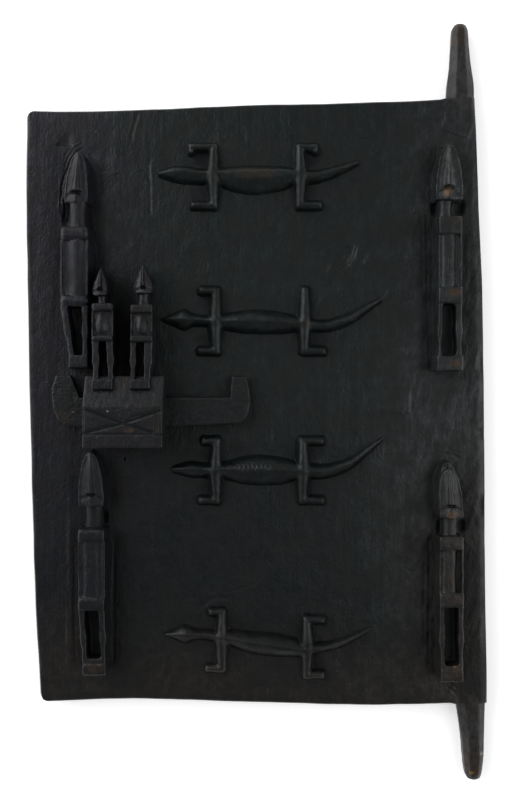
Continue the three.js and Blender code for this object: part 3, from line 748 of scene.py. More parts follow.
def box_distance(x, y, low, high):
    return np.hypot(np.maximum(between(x, low[0], high[0]), 0), np.maximum(between(y, low[1], high[1]), 0))


def moats(x, y):
    """The ground is cleared a little deeper round each figure and lizard."""
    total = np.zeros(np.shape(x))
    for size in FIGURES.values():
        half = size["width"] / 2 + size["spread"]
        away = box_distance(x, y, (size["x"] - half, size["sole"]),
                            (size["x"] + half, size["sole"] + levels(size)["face"]))
        total -= 1.0 * np.exp(-(away / 13) ** 2)
    for size in LIZARDS.values():
        away, _ = segment(x, y, (size["x"] - size["snout"] + 12, size["y"]),
                          (size["x"] + size["tail"][0] * 0.7, size["y"]))
        total -= 0.7 * np.exp(-(away / 24) ** 2)
    return total


def knife_work(x, y):
    """The separate cuts, steps, chips and the hole."""
    total = np.zeros(np.shape(x))
    for points, width, depth in CUTS.values():
        away, along = polyline(x, y, points)
        fade = ramp(along, 0, 0.12) * ramp(1 - along, 0, 0.12)
        total -= depth * (0.35 + 0.65 * fade) * np.exp(-(away / width) ** 2)
        total += 0.25 * depth * fade * np.exp(-((away - 1.9 * width) / width) ** 2)
    for points, rise, reach in STEPS.values():
        away, along = polyline(x, y, points)
        (ax, ay), (bx, by) = points[0], points[-1]
        side = ((bx - ax) * (y - ay) - (by - ay) * (x - ax)) / math.hypot(bx - ax, by - ay)
        fade = ramp(along, 0, 0.1) * ramp(1 - along, 0, 0.1)
        total += rise * fade * ramp(side, -1.2, 1.2) * np.exp(-(away / reach) ** 2)
    for (cx, cy), (half_x, half_y), depth in CHIPS.values():
        inside = 1 - ((x - cx) / half_x) ** 2 - ((y - cy) / half_y) ** 2
        total -= depth * np.clip(inside, 0, 1) ** 0.6
    t = np.clip((WEDGE["top"] - y) / (WEDGE["top"] - WEDGE["bottom"]), 0, 1)
    slant = WEDGE["right"] - 3 - (WEDGE["right"] - 3 - WEDGE["left"]) * t
    inside = ramp(x, slant - 1.2, slant + 1.2) * ramp(WEDGE["right"] - x, -5, 4)
    total -= WEDGE["depth"] * t * inside * ramp(y - WEDGE["bottom"], -1.2, 1.2)
    for (cx, cy), (half_x, half_y) in PITS.values():
        away = (np.abs((x - cx) / half_x) ** 3 + np.abs((y - cy) / half_y) ** 3) ** (1 / 3)
        total -= PIT_DEPTH * ramp(away, 1.35, 0.3)
    total -= HOLE["depth"] * np.exp(-(np.hypot(x - HOLE["x"], y - HOLE["y"]) / HOLE["radius"]) ** 4)
    return total


def ground_height(x, y):
    """How far the carved face stands above or below the plank's nominal face."""
    left_strip = ramp(-x, 130, 190)
    right_strip = ramp(x, 150, 190)
    height = 0.9 * noise(x, y, 0, 150, 61) + 0.3 * noise(x, y, 0, 45, 62)
    scoops = adze_marks(x, y, 34, 11, 0.55, 63) + adze_marks(x, y, 19, 26, 0.55, 64)
    height += scoops * (1 - 0.45 * left_strip)
    height += (0.05 + 0.10 * left_strip) * noise(x, y, 0, (3.2, 50, 9), 65)
    height += 0.09 * left_strip * noise(x, y, 0, (1.9, 24, 9), 67)
    strokes = x * 0.95 - y * 0.31
    height += 0.42 * right_strip * noise(strokes, y, 0, (5, 26, 9), 66)
    height += 0.26 * right_strip * noise(strokes, y, 0, (2.6, 14, 9), 68)
    slant = x * 0.8 + y * 0.6
    height += 0.09 * noise(slant, y - x, 0, (2.8, 34, 9), 69) * (1 - 0.6 * left_strip)
    return height + moats(x, y) + knife_work(x, y)


def panel_grid(step):
    """Places on the panel in rows and columns that follow its four edges."""
    columns = int(round((LEAF_HIGH[0] - LEAF_LOW[0]) / step)) + 1
    rows = int(round((TOP_EDGE[-1][1] - BOTTOM_EDGE[-1][1]) / step)) + 1
    s, t = np.meshgrid(np.linspace(0, 1, columns), np.linspace(0, 1, rows), indexing="ij")
    x = left_at(0) + (right_at(0) - left_at(0)) * s
    for _ in range(3):
        y = bottom_at(x) + (top_at(x) - bottom_at(x)) * t
        x = left_at(y) + (right_at(y) - left_at(y)) * s
    return x, y


def rounded_corner(x, y, corner_x, corner_y, way_y):
    """Draws a square corner of the grid on the left in to a quarter round."""
    a = 1 - (x - corner_x) / CORNER
    b = 1 - (y - corner_y) * way_y / CORNER
    inside = (a > 0) & (b > 0)
    a, b = np.clip(a, 0, 1), np.clip(b, 0, 1)
    new_x = corner_x + CORNER * (1 - a * np.sqrt(1 - b * b / 2))
    new_y = corner_y + way_y * CORNER * (1 - b * np.sqrt(1 - a * a / 2))
    return np.where(inside, new_x, x), np.where(inside, new_y, y)


def quarter_round(edge, radius):
    """How far a surface has fallen at a distance from a rounded edge."""
    inset = np.clip(1 - edge / radius, 0, 1)
    return radius * (1 - np.sqrt(1 - inset ** 2))


def grid_quads(index):
    return np.stack([index[:-1, :-1], index[1:, :-1], index[1:, 1:], index[:-1, 1:]], -1).reshape(-1, 4)


def make_panel(step):
    x, y = panel_grid(step)
    to_right = right_at(y) - x
    to_top, to_bottom = top_at(x) - y, y - bottom_at(x)
    near_peg = ramp(x, 222, 232) * (y > 0) + ramp(x, 234, 244) * (y < 0)
    to_ends = np.minimum(to_top, to_bottom) + 20 * near_peg
    edge = np.minimum(np.minimum(x - left_at(y), to_right), to_ends)
    for way_y, edge_at in ((-1, top_at), (1, bottom_at)):
        corner_y = edge_at(left_at(0) + 6)
        x, y = rounded_corner(x, y, left_at(corner_y), corner_y, way_y)
    radius = FRONT_ROUND * (1 + 0.5 * noise(x, y, 0, 30, 71))
    chamfer_width = CHAMFER_WIDTH * (1 + 0.35 * noise(x, y, 0, (30, 38, 30), 72))
    chamfer = CHAMFER_DEPTH * np.clip(1 - to_right / chamfer_width, 0, 1)
    root = 1.8 * near_peg * ramp(30 - np.minimum(to_top, to_bottom), 0, 30)
    face = PLANK + ground_height(x, y) * np.clip(edge / 4, 0.2, 1) - root
    face -= np.maximum(quarter_round(edge, radius), chamfer)
    back = quarter_round(edge, BACK_ROUND) + 0.25 + 0.25 * noise(x, y, 0, 60, 73)

    columns, rows = x.shape
    front_index = np.arange(columns * rows).reshape(columns, rows)
    back_index = front_index + columns * rows
    verts = [np.stack([x, y, height], -1).reshape(-1, 3) for height in (face, back)]
    faces = [grid_quads(front_index), grid_quads(back_index)[:, ::-1]]
    rim = np.concatenate([front_index[:, 0], front_index[-1, 1:], front_index[-2::-1, -1],
                          front_index[0, -2:0:-1]])
    rings = [rim]
    start = 2 * columns * rows
    walls = 7
    for k in range(1, walls):
        ring = verts[0][rim] * (1 - k / walls) + verts[1][rim] * (k / walls)
        outward = ring[:, :2] / np.linalg.norm(ring[:, :2], axis=1)[:, None]
        hewn = 0.4 * noise(*ring.T, (24, 24, 9), 74) + 0.2 * noise(*ring.T, 8, 75) - 0.2
        ring[:, :2] += outward * hewn[:, None]
        verts.append(ring)
        rings.append(start + np.arange(len(rim)))
        start += len(rim)
    rings.append(rim + columns * rows)
    for upper, lower in zip(rings[:-1], rings[1:]):
        faces.append(np.stack([upper, lower, np.roll(lower, -1), np.roll(upper, -1)], -1))
    return add_object(mesh_from("panel", np.concatenate(verts), np.concatenate(faces)))


# Pivot pegs, whittled from the plank's own thickness. Each station is a distance from the tip, the
# peg's middle, its half width and its share of the full depth.

PEGS = {
    "upper": (1, [
        (0, 245.4, 4.0, 0.30), (2, 245.3, 6.6, 0.52), (6, 245.0, 8.7, 0.72), (11, 244.9, 9.8, 0.84),
        (31, 245.2, 11.2, 0.90), (51, 245.8, 12.9, 0.95), (80, 246.0, 16.6, 0.99), (120, 245.2, 17.4, 1.0),
    ]),
    "lower": (-1, [
        (0, 262.2, 4.4, 0.30), (2, 262.0, 7.4, 0.52), (6, 261.7, 9.4, 0.70), (11, 261.5, 10.6, 0.82),
        (28, 261.4, 12.8, 0.90), (54, 260.5, 14.0, 0.95), (80, 258.7, 16.1, 0.99), (96, 257.4, 17.6, 1.0),
    ]),
}
PEG_FRONT = 26.5


def peg_field(x, y, z, way, rows, seed):
    tip = LEAF_HIGH[1] if way > 0 else -LEAF_LOW[1]
    from_tip = tip - way * y
    middle, half, share = (np.interp(from_tip, rows[:, 0], rows[:, i]) for i in (1, 2, 3))
    deep = PEG_FRONT / 2 * share
    wobble = noise(x, y, z, (9, 42, 9), seed)
    across = np.abs(x - middle + 0.7 * wobble) / half
    height = np.abs(z - PEG_FRONT / 2 - 0.3 * wobble) / deep
    size = np.minimum(half, deep)
    facets = (across + height - 1.42 + 0.07 * wobble) * size * 0.72
    sides = meet((across - 1) * half, (height - 1) * deep, 1.2)
    whole = meet(sides, facets, 1.0)
    whole = meet(whole, -from_tip, 2.0)
    whole = meet(whole, 0.35 - z, 0.4)
    return whole + 0.25 * noise(x, y, z, (7, 20, 7), seed + 1) + 0.12 * noise(x, y, z, 3.5, seed + 2)


def carve_peg(name, way, stations, seed, step):
    rows = smooth_row(stations)
    inner, outer = 340.0, max(LEAF_HIGH[1], -LEAF_LOW[1]) + 3
    low = (218, inner if way > 0 else -outer, -3 * step)
    high = (282, outer if way > 0 else -inner, PEG_FRONT + 4)

    def field_at(x, y, z):
        return meet(peg_field(x, y, z, way, rows, seed), inner + 4 - way * y, 0.3)
    return carve(name, field_at, low, high, step)


# The leaf, as one piece

FIGURE_TRIANGLES = 19000
LIZARD_TRIANGLES = 11000
PEG_TRIANGLES = 3000
PANEL_TRIANGLES = 66000


def make_leaf():
    leaf = make_panel(1.6)
    leaf.name = "carved_leaf"
    thin_out(leaf, PANEL_TRIANGLES)
    reliefs = []
    for i, (name, size) in enumerate(FIGURES.items()):
        reliefs.append(carve_figure(name, size, PLANK, FIGURE_DEPTH, 11 + 10 * i, ROOT, 1.0))
        thin_out(reliefs[-1], FIGURE_TRIANGLES)
    for i, (name, size) in enumerate(LIZARDS.items()):
        reliefs.append(carve_lizard(name, size, 81 + 10 * i, 1.0))
        thin_out(reliefs[-1], LIZARD_TRIANGLES)
    for i, (name, (way, stations)) in enumerate(PEGS.items()):
        reliefs.append(carve_peg(name, way, stations, 121 + 10 * i, 1.2))
        thin_out(reliefs[-1], PEG_TRIANGLES)
    unite(leaf, reliefs)
    return leaf


# The lock case: a block with a sloping top and a cross cut into its front, on which two small
# figures stand clear of the leaf

CASE_BACK = CASE_LOW[2]
CASE_FRONT = CASE_HIGH[2] - CASE_BACK
CASE_LEFT, CASE_RIGHT, CASE_BOTTOM = CASE_LOW[0], CASE_HIGH[0], CASE_LOW[1]
CASE_SHOULDER, CASE_TOP, CASE_TOP_HEIGHT = -6.0, 30.5, 38.0
CASE_STRIP = -37.0
CASE_BAND = 7.0
CHANNEL_BOTTOM, CHANNEL_TOP, CHANNEL_HEIGHT = -31.0, 7.5, 19.0
LOCK_FIGURE_BACK, LOCK_FIGURE_DEPTH = 8.0, 40.0
LOCK_FIGURE_SHAPE = dict(
    slot_floor=-1, arm=2.0, drop_chest=True, drop_head=True, foot_front=1.1, chest_back=0.86,
    spread=0.6, hood_spread=0.6, slot_round=2.0, fillet=0.0,
)
LOCK_FIGURES = {
    "left": dict(
        x=-179.3, sole=13.8, foot=12.4, legs=43.9, hips=6.9, chest=27.7, shoulders=9.2, neck=9.7,
        chin=9, face=25.6, width=24.6, foot_width=24, torso_width=18.5, neck_width=10.5, head_width=17.2,
        leg_width=8.0, nose=3.0, foot_offset=0.6, torso_offset=-1.4, neck_offset=-2.6, head_offset=-4.4,
        apex_offset=-3.0, bar_round=3.2, bar_end=3.2, **LOCK_FIGURE_SHAPE,
    ),
    "right": dict(
        x=-134.1, sole=14.6, foot=11, legs=43.3, hips=8.1, chest=25.4, shoulders=10.4, neck=13.4,
        chin=8.5, face=25.4, width=25.8, foot_width=23.5, torso_width=18.5, neck_width=14.0,
        head_width=21.0, leg_width=8.2, nose=3.0, foot_offset=-1.4, torso_offset=-0.3, neck_offset=0.6,
        head_offset=1.4, apex_offset=1.2, slot_offset=-1.2, bar_round=2.6, bar_end=2.2, **LOCK_FIGURE_SHAPE,
    ),
}
# Lines cut into the case's front: the cross, doubled here and there, and the band at its right
CASE_LINES = {
    "falling": ([(-200, -8), (-160, -22.5), (-120, -35.5)], 1.5, 1.8),
    "falling again": ([(-196, -8.5), (-172, -15.5), (-150, -22)], 0.8, 0.8),
    "rising": ([(-199, -36.5), (-152, -24.5), (-111.5, -10.5)], 1.4, 1.7),
    "rising again": ([(-196, -33.5), (-165, -25.5)], 0.8, 0.8),
    "rising at the right": ([(-146, -19), (-128, -13.5), (-114, -8.5)], 0.8, 0.9),
    "strip": ([(-201, -37.6), (-155, -37.2), (-108, -37.8)], 0.9, 1.0),
    "band": ([(-117.5, -9), (-117, -24), (-117.8, -36)], 0.9, 0.9),
    "band's far side": ([(-111.4, -7), (-111, -36)], 0.7, 0.8),
    "left margin": ([(-198.6, -8), (-198.9, -36)], 0.7, 0.6),
}


def on_case_front(y, w):
    return ramp(w, CASE_FRONT - 8, CASE_FRONT - 5) * ramp(CASE_SHOULDER - y, -1.5, 0.5)


def incised_lines(x, y, z):
    """1 in the lines cut into the case's front, 0 elsewhere."""
    lines = np.zeros(len(x))
    for points, width, depth in CASE_LINES.values():
        away, _ = polyline(x, y, points)
        lines = np.maximum(lines, min(depth, 1) * ramp(away, 1.5 * width, 0.5 * width))
    return lines * on_case_front(y, z - CASE_BACK)


def case_field(x, y, z):
    w = z - CASE_BACK
    wobble = 0.45 * noise(x, y, z, 26, 151) + 0.2 * noise(x, y, z, 8, 152)
    fall = (CASE_FRONT - CASE_TOP_HEIGHT) / (CASE_TOP - CASE_SHOULDER)
    slope = (w - CASE_FRONT + fall * (y - CASE_SHOULDER)) / math.hypot(1, fall)
    top = meet(w - CASE_FRONT + 0.5 + 0.5 * wobble, slope, 0.8)
    sides = meet(between(x, CASE_LEFT + 0.4, CASE_RIGHT - 0.4) + 0.7 * wobble,
                 between(y, CASE_BOTTOM + 0.3, CASE_TOP) + 0.5 * wobble, 2.2)
    block = meet(sides, top, 2.0)
    block = meet(block, -w, 0.6)
    channel = meet(between(y, CHANNEL_BOTTOM, CHANNEL_TOP), w - CHANNEL_HEIGHT, 1.0)
    block = cut(block, channel, 1.0)
    carved = 0.0
    for points, width, depth in CASE_LINES.values():
        away, _ = polyline(x, y, points)
        carved = np.maximum(carved, depth * np.exp(-(away / width) ** 2))
    band = bump(x, -114.4, 2.6) * bump(y, -22.5, 12.5)
    carved = np.maximum(carved, 0.7 * np.minimum(1, 2 * band))
    block = block + carved * on_case_front(y, w)
    return block + 0.16 * noise(x, y, z, (5, 5, 5), 153) + 0.12 * noise(x, y, z, (12, 2.6, 8), 154)


def make_lock_case():
    low = (CASE_LEFT - 3, CASE_BOTTOM - 3, CASE_BACK - 2.5)
    high = (CASE_RIGHT + 3, CASE_TOP + 3, CASE_BACK + CASE_FRONT + 3)
    case = carve("carved_lock_case", case_field, low, high, 0.8)
    thin_out(case, 60000)
    figures = []
    for i, (name, size) in enumerate(LOCK_FIGURES.items()):
        figures.append(carve_figure(name, size, CASE_BACK + LOCK_FIGURE_BACK, LOCK_FIGURE_DEPTH,
                                    161 + 10 * i, 0.0, 0.75))
        thin_out(figures[-1], 36000)
    unite(case, figures)
    return case


# The bolt: a flat bar whose two ends turn up as horns. The outline is as it lies at rest.

BOLT_OUTLINE = [
    (-239.0, 31.9), (-220.4, 31.9), (-216.0, 19.4), (-209.6, 5.4), (-32.6, 5.4), (-31.4, 18.0),
    (-29.9, 30.2), (-12.4, 30.4), (-8.6, 14.0), (-7.7, 1.0), (-9.2, -12.4), (-13.8, -21.6),
    (-19.5, -26.4), (-63.0, -28.4), (-109.0, -30.2), (-208.0, -30.2), (-227.0, -28.0),
    (-236.0, -22.0), (-241.4, -12.4), (-244.3, 7.0), (-243.9, 18.0),
]


def polygon(x, y, corners):
    """Signed distance in the plane from an outline."""
    best = np.full(np.broadcast(x, y).shape, 1e9)
    inside = np.zeros(best.shape, bool)
    for a, b in zip(corners, corners[1:] + corners[:1]):
        best = np.minimum(best, segment(x, y, a, b)[0])
        spans = (a[1] > y) != (b[1] > y)
        rise = b[1] - a[1] if b[1] != a[1] else 1e-9
        inside ^= spans & (x < a[0] + (b[0] - a[0]) * (y - a[1]) / rise)
    return np.where(inside, -best, best)


def bolt_field(x, y, z):
    wobble = 0.35 * noise(x, y, z, 24, 181) + 0.15 * noise(x, y, z, 7, 182)
    outline = polygon(x, y, BOLT_OUTLINE) + 0.5 + 0.7 * wobble
    middle, thickness = (BOLT_LOW[2] + BOLT_HIGH[2]) / 2, BOLT_HIGH[2] - BOLT_LOW[2]
    flat = np.abs(z - middle) - thickness / 2 + 0.2 + 0.4 * wobble
    whole = rounded(outline, flat, 1.8)
    return whole + 0.12 * noise(x, y, z, 4.5, 183) + 0.14 * noise(x * 0.8 + y * 0.6, y, z, (16, 3.5, 9), 184)


def make_bolt():
    low = (BOLT_LOW[0] - 3, BOLT_LOW[1] - 3, BOLT_LOW[2] - 3)
    high = (BOLT_HIGH[0] + 3, BOLT_HIGH[1] + 3, BOLT_HIGH[2] + 3)
    bolt = carve("carved_bolt", bolt_field, low, high, 0.8)
    thin_out(bolt, 60000)
    return bolt


# Wear and painted shade: how sharply each place stands out or lies in, kept on the mesh for the materials

def measure_wear_and_shade(piece, incised=None):
    """Stores arris, 1 on edges that hands rub, where the materials paint wear and highlights; hollow, 1 in
    corners and creases, where they paint shade, and grime in cut lines; and halo, the broad
    painted shade round those corners. The function incised, if given, is 1 in cut lines."""
    mesh = piece.data
    count = len(mesh.vertices)
    place = np.empty(count * 3, np.float32)
    mesh.vertices.foreach_get("co", place)
    place = place.reshape(-1, 3)
    normal = np.empty(count * 3, np.float32)
    mesh.vertices.foreach_get("normal", normal)
    normal = normal.reshape(-1, 3)
    edges = np.empty(len(mesh.edges) * 2, np.int32)
    mesh.edges.foreach_get("vertices", edges)
    a, b = edges.reshape(-1, 2).T
    along = place[b] - place[a]
    along /= np.maximum(np.linalg.norm(along, axis=1), 1e-9)[:, None]
    number = np.bincount(a, minlength=count) + np.bincount(b, minlength=count)

    def gather(at_a, at_b):
        total = np.bincount(a, at_a, count) + np.bincount(b, at_b, count)
        return total / np.maximum(number, 1)

    bend = gather(-(along * normal[a]).sum(1), (along * normal[b]).sum(1))
    for _ in range(2):
        bend = 0.5 * bend + 0.5 * gather(bend[b], bend[a])
    near = np.clip(-bend, 0, None)
    for _ in range(10):
        near = np.maximum(0.4 * near + 0.6 * gather(near[b], near[a]), near * 0.9)
    wide = near.copy()
    for _ in range(36):
        wide = np.maximum(0.1 * wide + 0.9 * gather(wide[b], wide[a]), near * 0.6)
    hollow = ramp(near, 0.015, 0.2)
    if incised:
        x, y, z = place.T / MM
        lines = incised(x, y, z)
        hollow = np.maximum(hollow, lines)
        bend = bend * (1 - lines)
    for name, values in (("arris", ramp(bend, 0.04, 0.32)), ("hollow", hollow),
                         ("halo", ramp(wide, 0.0, 0.09))):
        layer = mesh.attributes.new(name, "FLOAT", "POINT")
        layer.data.foreach_set("value", values.astype(np.float32))


def finish_piece(piece, body, node, material, incised=None, crease=42):
    for face in piece.data.polygons:
        face.use_smooth = True
    piece.data.set_sharp_from_angle(angle=math.radians(crease))
    measure_wear_and_shade(piece, incised)
    piece.data.materials.clear()
    piece.data.materials.append(material)
    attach(piece, body)
    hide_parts(node)


# Materials

class Shader:
    """Short ways to add nodes to one material."""

    def __init__(self, name):
        self.material = bpy.data.materials.new(name)
        self.material.use_nodes = True
        self.tree = self.material.node_tree
        self.surface = self.tree.nodes["Principled BSDF"]
        self.place = self.add("ShaderNodeTexCoord").outputs["Object"]

    def add(self, kind, inputs=None, **settings):
        node = self.tree.nodes.new(kind)
        for name, value in settings.items():
            setattr(node, name, value)
        for name, value in (inputs or {}).items():
            self.feed(node.inputs[name], value)
        return node

    def feed(self, socket, value):
        if isinstance(value, bpy.types.NodeSocket):
            self.tree.links.new(value, socket)
        elif hasattr(socket.default_value, "__len__") and not hasattr(value, "__len__"):
            socket.default_value = [value] * len(socket.default_value)
        elif hasattr(socket.default_value, "__len__") and len(value) < len(socket.default_value):
            socket.default_value = (*value, 1.0)
        else:
            socket.default_value = value

    def attribute(self, name):
        return self.add("ShaderNodeAttribute", attribute_name=name).outputs["Fac"]

    def math(self, operation, *values):
        return self.add("ShaderNodeMath", dict(enumerate(values)), operation=operation).outputs[0]

    def remap(self, value, low, high, to_low=0.0, to_high=1.0):
        return self.add("ShaderNodeMapRange", {
            "Value": value, "From Min": low, "From Max": high, "To Min": to_low, "To Max": to_high,
        }, interpolation_type="SMOOTHSTEP").outputs["Result"]

    def grain(self, scale, detail=3.0, rough=0.55, turn=0.0):
        """Noise that is scale bumps per metre along each axis, turned about Z by that many degrees."""
        place = self.add("ShaderNodeMapping", {
            "Vector": self.place, "Rotation": (0, 0, math.radians(turn)), "Scale": [1 / v for v in scale],
        }, vector_type="TEXTURE").outputs[0]
        return self.add("ShaderNodeTexNoise", {
            "Vector": place, "Scale": 1.0, "Detail": detail, "Roughness": rough,
        }).outputs["Fac"]

    def blend(self, amount, under, over, mode="MIX"):
        return self.add("ShaderNodeMix", {0: amount, 6: under, 7: over}, data_type="RGBA",
                        blend_type=mode).outputs[2]

    def spot(self, middle, radii, edge=0.35, ragged=0.0):
        """1 inside an ellipsoid given in mm, fading out over a share of its radius."""
        offset = self.add("ShaderNodeVectorMath", {0: self.place, 1: [v * MM for v in middle]},
                          operation="SUBTRACT").outputs[0]
        scaled = self.add("ShaderNodeVectorMath", {0: offset, 1: [1 / (v * MM) for v in radii]},
                          operation="MULTIPLY").outputs[0]
        away = self.add("ShaderNodeVectorMath", {0: scaled}, operation="LENGTH").outputs["Value"]
        if ragged:
            away = self.math("ADD", away, self.math("MULTIPLY", self.math("SUBTRACT", self.grain(
                (420, 420, 420), 2.0), 0.5), ragged))
        return self.remap(away, 1 + edge, 1 - edge)


CHARCOAL = (0.0042, 0.0050, 0.0054)
PLUM = (0.0060, 0.0060, 0.0098)
TEAL = (0.0026, 0.0052, 0.0054)
SLATE = (0.0100, 0.0114, 0.0122)
UMBER = (0.0094, 0.0078, 0.0066)
SMOKE = (0.028, 0.026, 0.026)
SEPIA = (0.0085, 0.0062, 0.0040)
ROSE = (0.090, 0.040, 0.036)
# Pale wear on rubbed edges, also used as a painted highlight
RUBBED_AND_HIGHLIGHT = (0.044, 0.044, 0.046)
# Near black: painted shade in creases, corners and shaded parts, and grime in the cut lines
SHADE_AND_GRIME = (0.0008, 0.0016, 0.0024)
SHADE = (0.0026, 0.0050, 0.0054)
# Dark teal painted shade on the slot floors between the legs
SLOT_SHADE = (0.0032, 0.0068, 0.0072)
ROUGHENING = {SHADE_AND_GRIME: 0.5, SHADE: 0.35, SLOT_SHADE: 0.04}
BROWN = (0.034, 0.019, 0.0095)
OCHRE = (0.18, 0.086, 0.024)
CREAM = (0.30, 0.27, 0.20)

# Where the patina is worn through to brown or ochre wood, where shade is painted in pits, slots and corners and
# on shaded parts, and where highlights are painted: middle, radii, colour and how much
LEAF_WEAR_SHADE_AND_HIGHLIGHTS = {
    # Painted shade in the pits beside the necks, in the slots between the legs, and in the corners between the
    # lizards' feet and bodies
    **{name: ((cx, cy, 24), (half_x * 1.25, half_y * 1.25, 14), SHADE, 0.9)
       for name, ((cx, cy), (half_x, half_y)) in PITS.items()},
    **{f"{name} slot": ((size["x"] + size["foot_offset"] / 2, size["sole"] + size["foot"] + size["legs"] / 2, 30),
                        (size["width"] / 2 - size["leg_width"] + 2, size["legs"] * 0.56, 26), SLOT_SHADE, 0.95)
       for name, size in FIGURES.items()},
    **{f"{name} {pair} pocket {way}": (
        (size["x"] + size[pair + "_x"] + size[pair + "_feet"][side] * 0.62, size["y"] + way * 23, 28),
        (abs(size[pair + "_feet"][side]) * 0.5 + 1, 11, 6), SHADE_AND_GRIME, 0.5)
       for name, size in LIZARDS.items() for pair in ("fore", "hind") for side, way in enumerate((1, -1))},
    # Painted shade on the first figure's chest and on the third figure's face and neck
    "shade on the first chest": ((-208, 158, 56), (15, 36, 22), SHADE_AND_GRIME, 0.3),
    "shade on the third face": ((-193, -105, 52), (17, 30, 22), SHADE_AND_GRIME, 0.22),
    "shade on the third neck": ((-193, -139, 46), (15, 15, 18), SHADE_AND_GRIME, 0.5),
    "second chin": ((223, 247, 60), (5, 6, 8), OCHRE, 0.50),
    # Painted highlights along the second figure's nose and right cheek
    "highlight on the second nose": ((225, 284, 62), (3, 18, 10), RUBBED_AND_HIGHLIGHT, 0.9),
    "highlight on the second cheek": ((230, 262, 60), (3, 14, 10), RUBBED_AND_HIGHLIGHT, 0.9),
    "second brow": ((222, 262, 62), (4, 4, 8), BROWN, 0.5),
    "second shoulders": ((232, 212, 64), (8, 5, 6), BROWN, 0.8),
    "second hips": ((231, 128, 64), (9, 5, 6), BROWN, 0.8),
    "second foot": ((232, 45, 62), (8, 4.5, 6), BROWN, 0.8),
    "last chin": ((229, -133, 60), (7, 5, 8), OCHRE, 0.32),
    "last shoulders": ((228, -164, 64), (10, 5, 6), BROWN, 0.45),
    "last chest": ((229, -208, 62), (3, 8, 8), BROWN, 0.6),
    "last hips": ((232, -233, 64), (9, 5, 6), BROWN, 0.45),
    "last foot": ((229, -316, 62), (11, 7, 8), BROWN, 0.6),
    "last foot's spot": ((231, -309, 63), (2.4, 2.2, 6), OCHRE, 1.0),
    "third foot": ((-191, -311, 62), (11, 6, 8), BROWN, 0.4),
    "upper peg": ((244, 405, 22), (16, 62, 18), SMOKE, 0.85),
    "upper tip": ((244, 444, 14), (13, 22, 22), BROWN, 0.75),
    "lower peg": ((260, -410, 22), (16, 60, 18), SMOKE, 0.6),
    "lower tip": ((261, -440, 14), (14, 26, 22), BROWN, 0.5),
    "lower tip's spot": ((257.5, -447, 20), (3.4, 2.2, 9), OCHRE, 1.0),
    "lower side's spot": ((270, -424, 18), (2.2, 2.8, 9), CREAM, 0.5),
    "first lizard's back": ((-4, 272, 42), (26, 7, 6), BROWN, 0.4),
    "second lizard's hip": ((58, 93, 44), (9, 7, 5), BROWN, 0.35),
    "low left corner": ((-232, -285, 28), (22, 36, 8), BROWN, 0.16),
    "above the top lizard": ((-40, 312, 28), (16, 9, 5), BROWN, 0.2),
    # Painted shadow on the leaf behind and between the lock's figures
    "shadow behind the lock's figures": ((-157, 92, 28), (17, 52, 10), SHADE_AND_GRIME, 0.9),
    "speck": ((-194, 324, 28), (1.4, 1.2, 4), CREAM, 0.5),
}
LOCK_WEAR = {
    "speck on the front": ((-171.5, -11, 88), (1.3, 0.9, 4), CREAM, 0.6),
    "rust on the front": ((-146, -33, 88), (6, 3, 4), BROWN, 0.8),
    "crust on the slope": ((-154.6, 22, 72), (6.5, 9, 12), BROWN, 0.5),
    "spot in the crust": ((-154.2, 20, 73), (1.5, 1.6, 8), ROSE, 0.9),
    "band": ((-114.5, -23, 88), (3.2, 14, 5), SEPIA, 0.9),
    "left margin": ((-200, -22, 88), (2.2, 14, 5), SEPIA, 0.7),
    "right shoulder": ((-144.5, 101.5, 77), (1.6, 1.6, 4), OCHRE, 0.7),
}
BOLT_WEAR = {
    "left horn": ((-232, -20, 45), (12, 7, 5), BROWN, 0.4),
    "left horn's spot": ((-218.6, -12, 45), (1.7, 1.2, 4), CREAM, 0.35),
}


